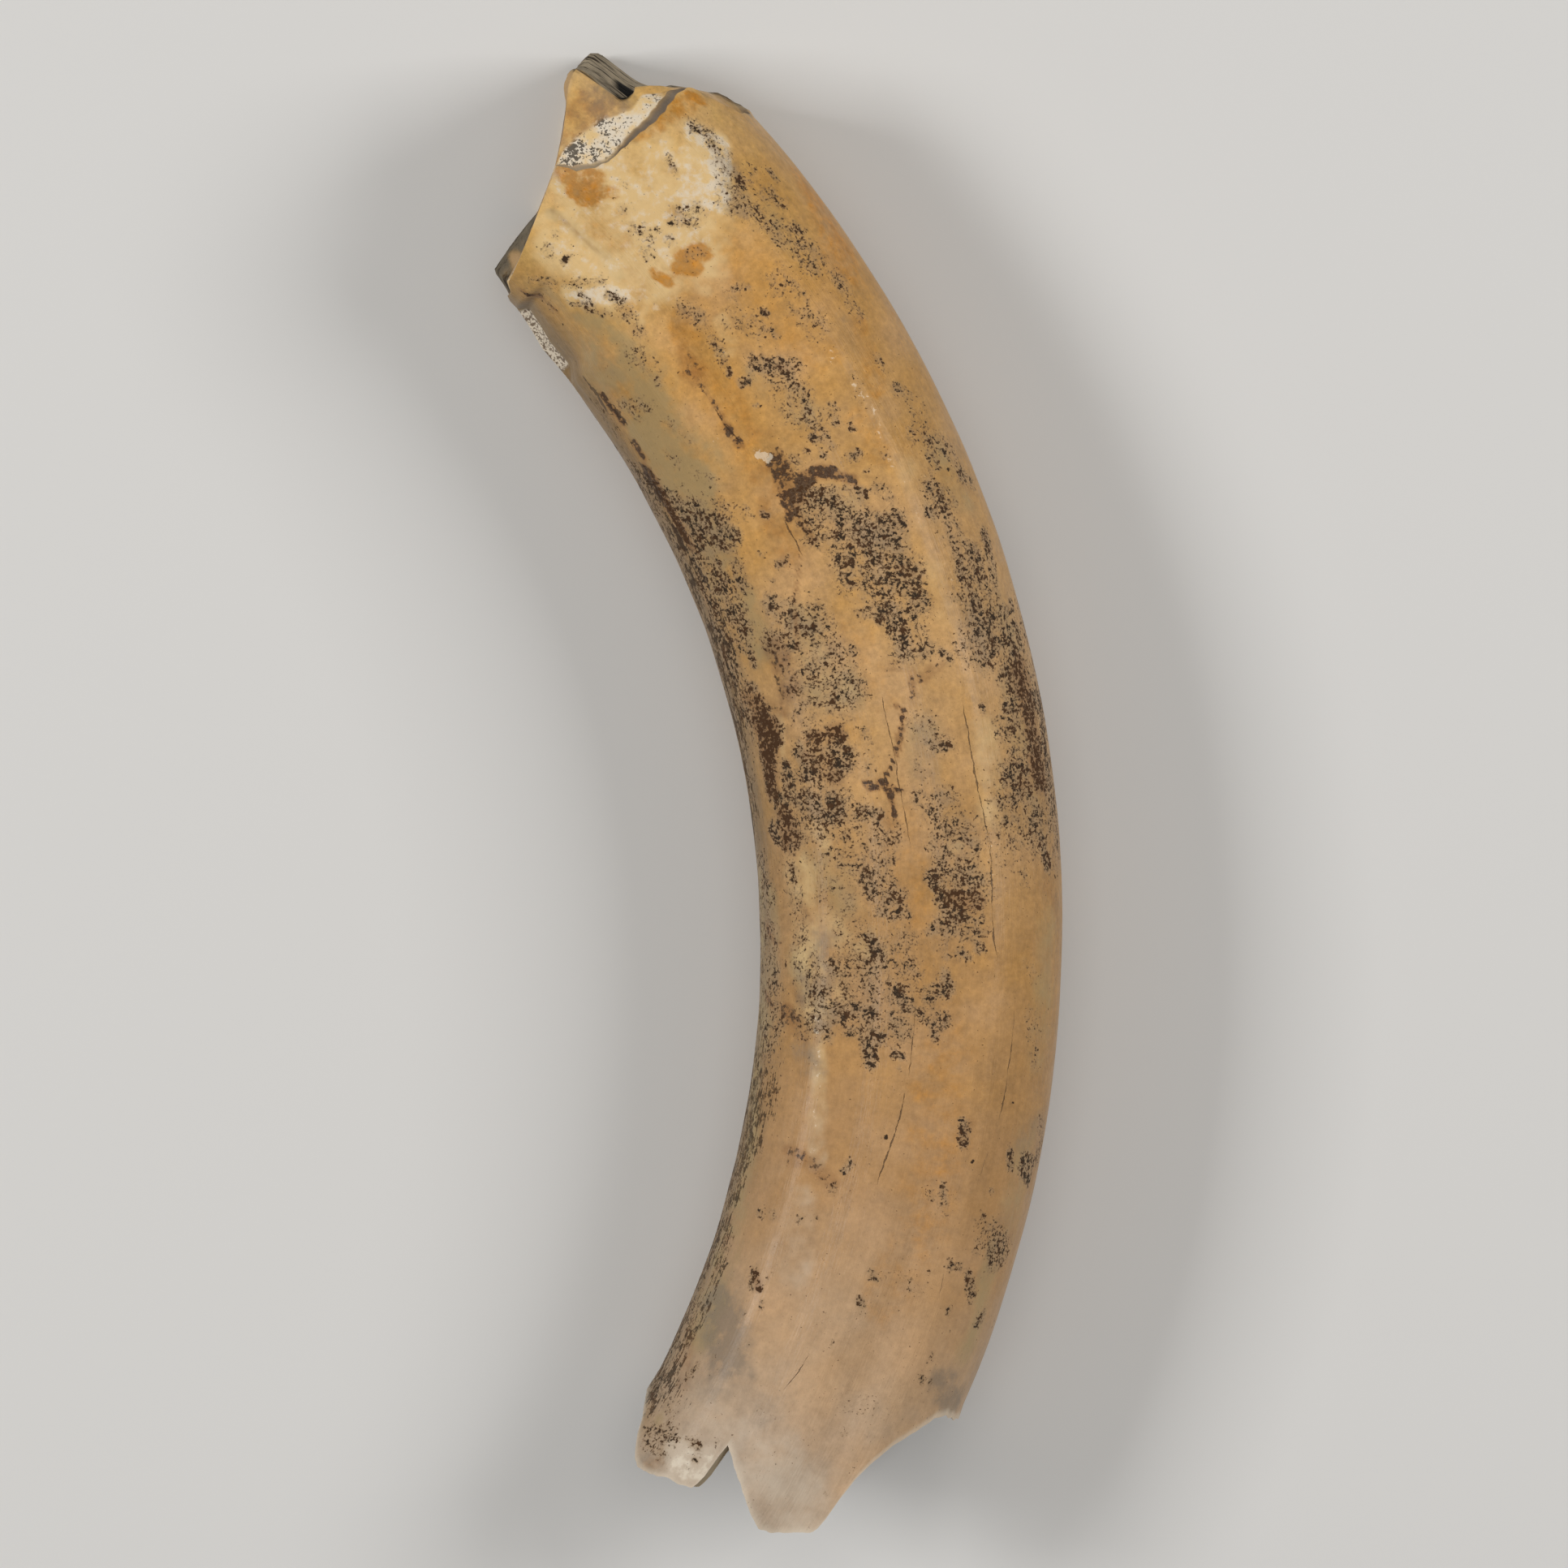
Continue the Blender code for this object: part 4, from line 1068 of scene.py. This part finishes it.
class Finish:
    """A material that grows by one node at a time."""

    def __init__(self, name):
        self.material = bpy.data.materials.new(name)
        self.material.use_nodes = True
        self.tree = self.material.node_tree
        self.shader = self.tree.nodes["Principled BSDF"]
        self.colour = None

    def node(self, kind, settings=None, inputs=None, output=0):
        """Adds a node: first its settings, then its sockets' values or wires. Gives one output."""
        new = self.tree.nodes.new(kind)
        for name, value in (settings or {}).items():
            if name == "stops":
                self.set_stops(new.color_ramp, value)
            else:
                setattr(new, name, value)
        for name, value in (inputs or {}).items():
            self.fill(self.socket(new.inputs, name), value)
        return Wire(self, self.socket(new.outputs, output))

    def socket(self, sockets, name):
        """Finds a socket by its number or its identifier."""
        if isinstance(name, int):
            return sockets[name]
        return next(one for one in sockets if one.identifier == name)

    def fill(self, socket, value):
        """Gives an input a wire or a value."""
        if isinstance(value, Wire):
            self.tree.links.new(value.socket, socket)
        else:
            socket.default_value = value

    def set_stops(self, ramp, stops):
        """Gives a colour ramp its stops."""
        while len(ramp.elements) < len(stops):
            ramp.elements.new(1.0)
        for element, (position, colour) in zip(ramp.elements, stops):
            element.position = position
            element.color = (*colour, 1.0)

    def part(self, kind, whole, name):
        """One part of a vector or a colour."""
        return self.node(kind, None, {0: whole}, name)

    def field(self, name):
        """A value that the mesh keeps at its points."""
        return self.node("ShaderNodeAttribute", {"attribute_name": name}, output="Fac")

    def noise(self, where, scale, detail=2.0, roughness=0.5):
        """Soft noise of 0 to 1. A larger scale makes its lumps smaller."""
        values = {"Vector": where, "Scale": scale, "Detail": detail, "Roughness": roughness}
        return self.node("ShaderNodeTexNoise", {"noise_dimensions": "3D"}, values)

    def step(self, value, low, high):
        """Goes softly from 0 to 1 as the value passes from low to high."""
        settings = {"interpolation_type": "SMOOTHSTEP"}
        values = {"Value": value, "From Min": low, "From Max": high}
        return self.node("ShaderNodeMapRange", settings, values)

    def cover(self, mask, below, above):
        """Lays one colour over another where the mask is 1."""
        below = below if isinstance(below, Wire) else (*below, 1.0)
        above = above if isinstance(above, Wire) else (*above, 1.0)
        inputs = {"Factor_Float": mask, "A_Color": below, "B_Color": above}
        return self.node("ShaderNodeMix", {"data_type": "RGBA"}, inputs, "Result_Color")

    def lay(self, mask, above):
        """Lays a colour over the finish as it is so far."""
        self.colour = self.cover(mask, self.colour, above)

    def stretched(self, where, scale):
        """Squeezes a pattern's coordinates, which stretches the pattern."""
        return self.node("ShaderNodeVectorMath", {"operation": "MULTIPLY"}, {0: where, 1: scale})

    def shaded(self, colour, strength):
        """Makes a colour lighter or darker."""
        settings = {"operation": "SCALE"}
        return self.node("ShaderNodeVectorMath", settings, {"Vector": colour, "Scale": strength})


print("wires and nodes are ready")

# %% [markdown]
# ## The fossil's finish: its ground colour
#
# Under the stains the dentine is a warm tan. It is more golden near the tip, and paler and
# slightly pink near the root. Slow mottling and long faint fibres keep it from looking like paint.
# The fibre pattern reads the straight coordinates kept on the mesh, so it bends with the tooth.

# %% Ground colour
GROUND_STOPS = (
    (0.02, (0.45, 0.345, 0.250)),
    (0.14, (0.47, 0.305, 0.172)),
    (0.26, (0.42, 0.234, 0.095)),
    (0.42, (0.43, 0.234, 0.082)),
    (0.56, (0.53, 0.305, 0.116)),
    (0.72, (0.51, 0.280, 0.088)),
    (0.83, (0.52, 0.270, 0.070)),
    (0.95, (0.63, 0.385, 0.125)),
)
GROUND_START = -70.0
GROUND_LENGTH = 170.0
OCHRE = (0.48, 0.240, 0.050)
PINKISH = (0.57, 0.350, 0.185)
FLANK_DIRT_AND_SHADE = (0.20, 0.130, 0.060)

dentine = Finish("fossil_dentine")
where = dentine.node("ShaderNodeTexCoord", output="Object")
straight_place = dentine.node(
    "ShaderNodeAttribute", {"attribute_name": "straight"}, output="Vector"
)
crosswise = dentine.part("ShaderNodeSeparateXYZ", straight_place, "X")
lengthwise = dentine.part("ShaderNodeSeparateXYZ", straight_place, "Y")


def drawn_out(squeeze, detail, roughness=0.6):
    """Noise that is stretched along the tooth and bends with it."""
    return dentine.noise(dentine.stretched(straight_place, squeeze), 1.0, detail, roughness)


# Noises from slow to quick, each with its scale, detail and roughness
mottling = dentine.noise(where, 75.0, 4.0, 0.6)
strewing = dentine.noise(where, 110.0, 2.0, 0.5)
drift = dentine.noise(where, 120.0, 3.0, 0.55)
patchy = dentine.noise(where, 260.0, 3.0, 0.6)
smoky = dentine.noise(where, 480.0, 4.0, 0.65)
clumps = dentine.noise(where, 560.0, 3.0, 0.6)
ragged = dentine.noise(where, 900.0, 4.0, 0.65)
grainy = dentine.noise(where, 1500.0, 3.0, 0.7)
coarse = dentine.noise(where, 1750.0, 3.0, 0.6)
fine = dentine.noise(where, 3600.0, 2.0, 0.6)
long_fibres = drawn_out((1.1, 0.09, 1.1), 3.0)
fine_fibres = drawn_out((4.5, 0.4, 4.5), 2.0)
lanes = drawn_out((0.60, 0.20, 0.60), 3.0)
layered = drawn_out((0.5, 0.14, 2.6), 4.0, 0.65)

towards_tip = (lengthwise - GROUND_START + mottling.swing(40.0)) * (1.0 / GROUND_LENGTH)
dentine.colour = dentine.node("ShaderNodeValToRGB", {"stops": GROUND_STOPS}, {"Fac": towards_tip})
ochre_share = dentine.step(drift, 0.52, 0.66) * dentine.step(lengthwise, -45.0, 25.0)
dentine.lay(ochre_share * 0.45, OCHRE)
dentine.lay(dentine.step(drift, 0.54, 0.34) * 0.28, PINKISH)

# Darker towards the flanks and edges: partly dirt, partly painted shade of the sides that turn away from
# the light.
sideways = abs(crosswise)
flank_share = dentine.step(sideways + patchy.swing(9.0), 8.5, 17.0)
edge_share = dentine.step(sideways + patchy.swing(3.0), 12.0, 17.5)
concave_share = dentine.step(crosswise, 2.0, -2.0)
low_left = concave_share * dentine.step(lengthwise, 0.0, -40.0)
dirt_and_shade = (flank_share * 0.22 + edge_share * 0.36) * (0.45 + 0.75 * concave_share + 0.35 * low_left)
# A band of painted shade along the concave side's outer edge.
dirt_and_shade = dirt_and_shade + concave_share * dentine.step(sideways, 14.8, 16.2) * 0.3
dentine.lay(dirt_and_shade & 0.9, FLANK_DIRT_AND_SHADE)

slow_tone = patchy.swing(0.36) + mottling.swing(0.30) + long_fibres.swing(0.26)
quick_tone = smoky.swing(0.32) + ragged.swing(0.42) + grainy.swing(0.75)
calm = 0.55 + 0.45 * dentine.step(lengthwise, -40.0, 10.0)
dentine.colour = dentine.shaded(dentine.colour, 1.0 + slow_tone + quick_tone * calm)
print("ground colour with", len(GROUND_STOPS), "stops")

# %% [markdown]
# ## Soft stains
#
# Pale bleached areas, pale strips of painted highlight along the two ridges, orange iron spots, olive
# and grey veils and brown smears lie on the ground colour like washes. Each field from the mesh is
# frayed by noise before it becomes a mask.

# %% Lay the washes
CREAM = (0.73, 0.515, 0.245)
CHALK_WHITE = (0.72, 0.63, 0.50)
ROOT_PALE = (0.56, 0.460, 0.350)
IRON_ORANGE = (0.46, 0.187, 0.015)
OLIVE_GREY = (0.35, 0.255, 0.120)
HAZE_GREY = (0.190, 0.152, 0.112)


def frayed(name, low, high, amount, grain=patchy):
    """A field from the mesh with its edge broken up by noise."""
    return dentine.step(dentine.field(name) * (1.0 + grain.swing(amount)), low, high)


dentine.lay(frayed("olive", 0.05, 1.05, 4.0) * 0.75, OLIVE_GREY)
pale_colour = dentine.cover(dentine.step(lengthwise, -8.0, -36.0), CREAM, ROOT_PALE)
# Bleached areas, and painted highlight where pale strokes follow the ridges
dentine.lay(frayed("pale", 0.1, 0.95, 3.0) * 0.8, pale_colour)
dentine.lay(frayed("pale", 0.7, 1.25, 2.5, ragged) * 0.75, CHALK_WHITE)
iron = frayed("orange", 0.1, 1.1, 3.5, smoky) * (0.45 + 0.8 * ragged)
iron_tone = 1.0 + patchy.swing(0.7) + ragged.swing(1.0) + grainy.swing(1.0)
dentine.lay(iron, dentine.shaded(IRON_ORANGE, iron_tone))
dentine.lay(frayed("grey", 0.0, 1.3, 4.0, smoky) * 0.65, HAZE_GREY)
print("washes laid")

# %% [markdown]
# ## Dark mineral speckles
#
# The most striking thing about this fossil is its black and brown dots of manganese. They are a
# quarter to half a millimetre wide, crowd together in patches, and thin out to single dots. A fine
# noise is cut off at a level that the painted field lowers: the denser the patch, the more dots.
# Slower noises, one of them drawn out lengthwise, break each patch into lanes and ragged lumps.
# A few round dots from a cell pattern are strewn over the rest.

# %% Speckles
BLACK_SPECK = (0.025, 0.014, 0.006)
BROWN_SPECK = (0.060, 0.024, 0.006)
FILM_BROWN = (0.19, 0.118, 0.060)
VEIL = (0.35, 0.235, 0.130)
RUST = (0.25, 0.112, 0.035)
DARK_BROWN = (0.058, 0.024, 0.008)
FLECK_AND_GLINT_PALE = (0.80, 0.66, 0.48)
CELL_SCALE = 430.0
DOT_CUT = 0.645
CROWDING_DROP = 0.163
DOT_EDGE = 0.07

coarseness = 0.56 + patchy.swing(0.8)
grain = coarse * coarseness + fine * (1.0 - coarseness)
speckles = dentine.field("speckles")
density = speckles * (1.0 + clumps.swing(1.8) + lanes.swing(1.8) + ragged.swing(1.0))
density = density + clumps.swing(0.25) + strewing.swing(0.35)
dentine.lay(dentine.step(density + smoky.swing(1.5), 0.15, 1.3) * 0.6, VEIL)

# Brown smears: a rusty halo round a dark, grainy core
brown_halo = frayed("brown", 0.0, 1.2, 3.0, smoky)
brown_grain = 1.0 + ragged.swing(2.2) + coarse.swing(3.0)
brown_core = dentine.step(dentine.field("brown") * brown_grain, 0.65, 1.15)
dentine.lay(brown_halo * 0.6, dentine.shaded(RUST, 0.3 + 1.4 * ragged))
dentine.lay(brown_core * 0.95, dentine.shaded(DARK_BROWN, 2.0 - 2.2 * coarse))

# Crowded dots in a thin brown film, and much finer ones between the patches
crowding = ((density & 1.12) + brown_core * 0.35) & 1.45
cut = DOT_CUT - CROWDING_DROP * crowding
dots = dentine.step(grain, cut, cut + DOT_EDGE)
film = dentine.step(grain, cut - 0.09, cut + 0.03) * dentine.step(crowding, -0.1, 0.5)
dentine.lay(film * 0.5, FILM_BROWN)
pepper = dentine.step(fine * 0.8 + ragged * 0.2 + 0.13 * (density & 0.9), 0.685, 0.73)


def cells(output):
    """A pattern of cells, each with a lot of its own."""
    settings = {"Vector": where, "Scale": CELL_SCALE}
    return dentine.node("ShaderNodeTexVoronoi", {"feature": "F1"}, settings, output)


# Single round dots, where a cell's lot is high
cell_lot = dentine.part("ShaderNodeSeparateColor", cells("Color"), "Red")
cell_size = dentine.part("ShaderNodeSeparateColor", cells("Color"), "Green")
chosen = dentine.step(cell_lot + speckles * 0.45 + strewing.swing(0.6), 0.90, 0.93)
roundness = 0.02 + 0.12 * cell_size - cells("Distance") + coarse.swing(0.40)
single = chosen * dentine.step(roundness, 0.0, 0.05)

# Dark lines along the fibres of the flanks
streaks = dentine.field("streaks") * 0.23
flank_grain = fine_fibres * 0.45 + grain * 0.55 + clumps.swing(0.4)
flank_lines = dentine.step(flank_grain, 0.72 - streaks, 0.78 - streaks)

speck_mask = (dots | single) | (flank_lines * 0.85 | pepper * 0.8)
brownness = dentine.step(ragged + brown_halo * 0.25, 0.44, 0.64)
dentine.lay(speck_mask * 0.98, dentine.cover(brownness, BLACK_SPECK, BROWN_SPECK))
# Pale chips, and painted glints of highlight along the ridges
flecks = dentine.step(dentine.field("flecks") * (grainy * 2.8 - 0.9), 0.55, 0.9)
dentine.lay(flecks * 0.6, FLECK_AND_GLINT_PALE)
print("speckles strewn")

# %% Cracks
CRACK_COLOUR = (0.045, 0.024, 0.012)


def crack_line(name):
    """A dark line where the signed distance passes through zero."""
    distance = abs(dentine.field(name) + smoky.swing(0.7))
    openness = dentine.field(name + "_width") * (ragged * 3.4 - 1.15)
    return dentine.step(openness - distance, -0.02, 0.04)


cracks = crack_line("fine_crack") | crack_line("dark_crack")
dentine.lay(cracks * 0.75, CRACK_COLOUR)
print("cracks drawn")

# %% [markdown]
# ## The broken and worn ends
#
# Each zone of the ends has its own look. The chalky band is off-white with black dots. The ledge
# below it is painted dark, as painted shade of its step. The break is grey and layered along the
# fibres, with dark splits. The worn face shows rings: a pale outer layer, a tan one and a darker
# core. The hollow at the tip is painted black, as painted shadow. The cavity is dull and dark.

# %% Colour the ends
LEDGE_SHADE_COLOUR = (0.115, 0.088, 0.068)
FIBROUS_GREY = (0.33, 0.270, 0.185)
FIBROUS_DARK = (0.035, 0.025, 0.016)
WORN_TAN = (0.42, 0.27, 0.13)
WORN_CORE = (0.20, 0.125, 0.065)
HOLE_SHADOW_BLACK = (0.004, 0.003, 0.002)
CAVITY_BROWN = (0.16, 0.115, 0.07)
CAVITY_DARK = (0.05, 0.035, 0.02)
WALL_TAN = (0.40, 0.31, 0.20)

chalk_grain = fine * 0.65 + coarse * 0.35
chalk_dots = dentine.step(chalk_grain + clumps.swing(0.45) + patchy.swing(0.25), 0.54, 0.60)
chalk_ground = dentine.cover(dentine.step(clumps, 0.3, 0.6), CREAM, CHALK_WHITE)
chalk = dentine.field("chalk")
dentine.lay(chalk, dentine.cover(chalk_dots * 0.85, chalk_ground, BLACK_SPECK))

shelf_dots = dentine.step(chalk_grain, 0.47, 0.54)
shelf_colour = dentine.cover(shelf_dots * 0.8, CHALK_WHITE, BROWN_SPECK)
dentine.lay(frayed("shelf", 0.15, 0.7, 2.5, ragged) * 0.9, shelf_colour)

# The ledge's step face is painted dark, as painted shade under the outer layer's edge, and paler tan
# towards its left end.
ledge = dentine.field("ledge")
ledge_light = clumps * 0.35 | dentine.step(crosswise + ragged.swing(6.0), 4.5, 1.5) * 0.8
dentine.lay(ledge, dentine.shaded(dentine.cover(ledge_light, LEDGE_SHADE_COLOUR, WALL_TAN), 0.5 + smoky))

worn = dentine.field("worn")
rings = dentine.field("tip_depth") + patchy.swing(2.6) + smoky.swing(1.0)
worn_colour = dentine.cover(dentine.step(rings, 0.8, 1.4), CREAM, WORN_TAN)
worn_colour = dentine.cover(dentine.step(rings, 2.8, 5.2), worn_colour, WORN_CORE)
dentine.lay(worn, dentine.shaded(worn_colour, 0.75 + 0.5 * smoky))

fibrous = dentine.field("fibrous")
splits = dentine.step(layered, 0.50, 0.62)
fibrous_tone = (0.5 + smoky) * (0.45 + 0.55 * dentine.step(crosswise, -8.0, 0.0))
fibrous_grey = dentine.shaded(FIBROUS_GREY, fibrous_tone)
dentine.lay(fibrous, dentine.cover(splits, fibrous_grey, FIBROUS_DARK))
# The hollow at the tip is painted black: painted shadow in its depth.
dentine.lay(dentine.step(dentine.field("hole"), 0.25, 0.6), HOLE_SHADOW_BLACK)

wall, cavity = dentine.field("wall"), dentine.field("cavity")
dentine.lay(dentine.field("rim") * 0.5, CHALK_WHITE)
dentine.lay(wall, dentine.cover(smoky, FIBROUS_GREY, WALL_TAN))
dentine.lay(cavity, dentine.cover(dentine.step(smoky, 0.35, 0.65), CAVITY_DARK, CAVITY_BROWN))
print("ends coloured")

# %% [markdown]
# ## Gloss and fine relief
#
# The dentine is polished by handling, so it has a soft gloss. Stained, chalky and broken areas are
# dull. Bump gives the relief that is too fine for the mesh: pits under the speckles, open cracks,
# fibres, and the splintered texture of the breaks.

# %% Gloss and bump
SPECULAR_LEVEL = 0.22
BUMP_STRENGTH = 0.8

broken = (fibrous | wall) | cavity
dull = (broken | chalk) | ledge
roughness = 0.38 + smoky.swing(0.22) + 0.35 * speck_mask + 0.10 * dentine.field("pale")
roughness = roughness + 0.40 * dull + 0.12 * worn

relief = 0.06 * fine_fibres + 0.05 * long_fibres + 0.05 * smoky + 0.02 * fine
relief = relief - 0.035 * speck_mask - 0.12 * cracks
relief = relief + layered.swing(0.45) * broken + smoky.swing(0.25) * dull
heights = {"Strength": BUMP_STRENGTH, "Distance": MM, "Height": relief}

shader = dentine.shader.inputs
dentine.fill(shader["Base Color"], dentine.colour)
dentine.fill(shader["Roughness"], roughness)
dentine.fill(shader["Normal"], dentine.node("ShaderNodeBump", None, heights))
dentine.fill(shader["Specular IOR Level"], SPECULAR_LEVEL)
print(len(dentine.tree.nodes), "nodes in the finish")

# %% Put the tooth in its frame
mesh.materials.append(dentine.material)
tooth = bpy.data.objects.new("fossil_tooth", mesh)
bpy.context.scene.collection.objects.link(tooth)
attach(tooth, "root")
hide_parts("tooth")
print("the tooth spans", [round(side / MM, 1) for side in tooth.dimensions], "mm")

# %% [markdown]
# ## Floor, light and camera
#
# The tooth lies on a plain pale floor. Two soft lights stand on its left and right, half way down
# to the floor, so that both shoulders of the column catch a soft sheen and both flanks fall off
# evenly. A third one overhead fills the grooves.

# %% Floor and lights
FLOOR_COLOUR = (0.68, 0.67, 0.65)
FLOOR_ROUGHNESS = 0.9
FLOOR_HALF_SIDE = 3.0
SKY_COLOUR = (1.0, 0.97, 0.93)
SKY_STRENGTH = 0.20

# Name, place and size in metres, and power in watts
LIGHTS = (
    ("left_light", (-0.84, 0.12, 0.70), 0.30, 5.9),
    ("right_light", (0.80, 0.25, 0.70), 0.45, 5.4),
    ("top_light", (0.0, 0.10, 1.20), 0.70, 2.3),
)


def floor():
    """A plain wide floor at the level that the tooth rests on."""
    sheet = bmesh.new()
    bmesh.ops.create_grid(sheet, x_segments=1, y_segments=1, size=FLOOR_HALF_SIDE)
    floor_mesh = bpy.data.meshes.new("floor")
    sheet.to_mesh(floor_mesh)
    sheet.free()
    paper = Finish("pale_floor")
    paper.shader.inputs["Base Color"].default_value = (*FLOOR_COLOUR, 1.0)
    paper.shader.inputs["Roughness"].default_value = FLOOR_ROUGHNESS
    floor_mesh.materials.append(paper.material)
    made = bpy.data.objects.new("floor", floor_mesh)
    bpy.context.scene.collection.objects.link(made)


def soft_light(name, place, size, power):
    """A square soft light that shines at the tooth."""
    lamp = bpy.data.lights.new(name, "AREA")
    lamp.size = size
    lamp.energy = power
    made = bpy.data.objects.new(name, lamp)
    made.location = place
    made.rotation_euler = Vector(place).to_track_quat("Z", "Y").to_euler()
    bpy.context.scene.collection.objects.link(made)


floor()
for light in LIGHTS:
    soft_light(*light)
world = bpy.data.worlds.new("studio")
world.use_nodes = True
sky = world.node_tree.nodes["Background"].inputs
sky["Color"].default_value = (*SKY_COLOUR, 1.0)
sky["Strength"].default_value = SKY_STRENGTH
bpy.context.scene.world = world
bpy.context.scene.view_settings.view_transform = "Standard"
print("floor, three lights and a pale sky")

# %% [markdown]
# ### The camera
#
# The photograph looks straight down on the tooth from far away. A long lens at two metres does the
# same. Its view is as wide as the photograph at the level of the tooth's widest outline.

# %% Camera
PHOTO_SIDE = 1932.0
CAMERA_DISTANCE = 2.0
SENSOR_MM = 36.0
VIEW_END = 20.0

camera_data = bpy.data.cameras.new("camera")
camera_data.sensor_width = SENSOR_MM
camera_data.lens = SENSOR_MM * CAMERA_DISTANCE / (PHOTO_SIDE * PHOTO_MM * MM)
camera_data.clip_end = VIEW_END
camera = bpy.data.objects.new("camera", camera_data)
frame_x = (PHOTO_SIDE / 2.0 - PHOTO_MIDDLE[0]) * PHOTO_MM * MM
frame_y = (PHOTO_MIDDLE[1] - PHOTO_SIDE / 2.0) * PHOTO_MM * MM
camera.location = (frame_x, frame_y, CAMERA_DISTANCE + WIDEST_LEVEL * MM)
bpy.context.scene.collection.objects.link(camera)
bpy.context.scene.camera = camera
print("lens", round(camera_data.lens), "mm")
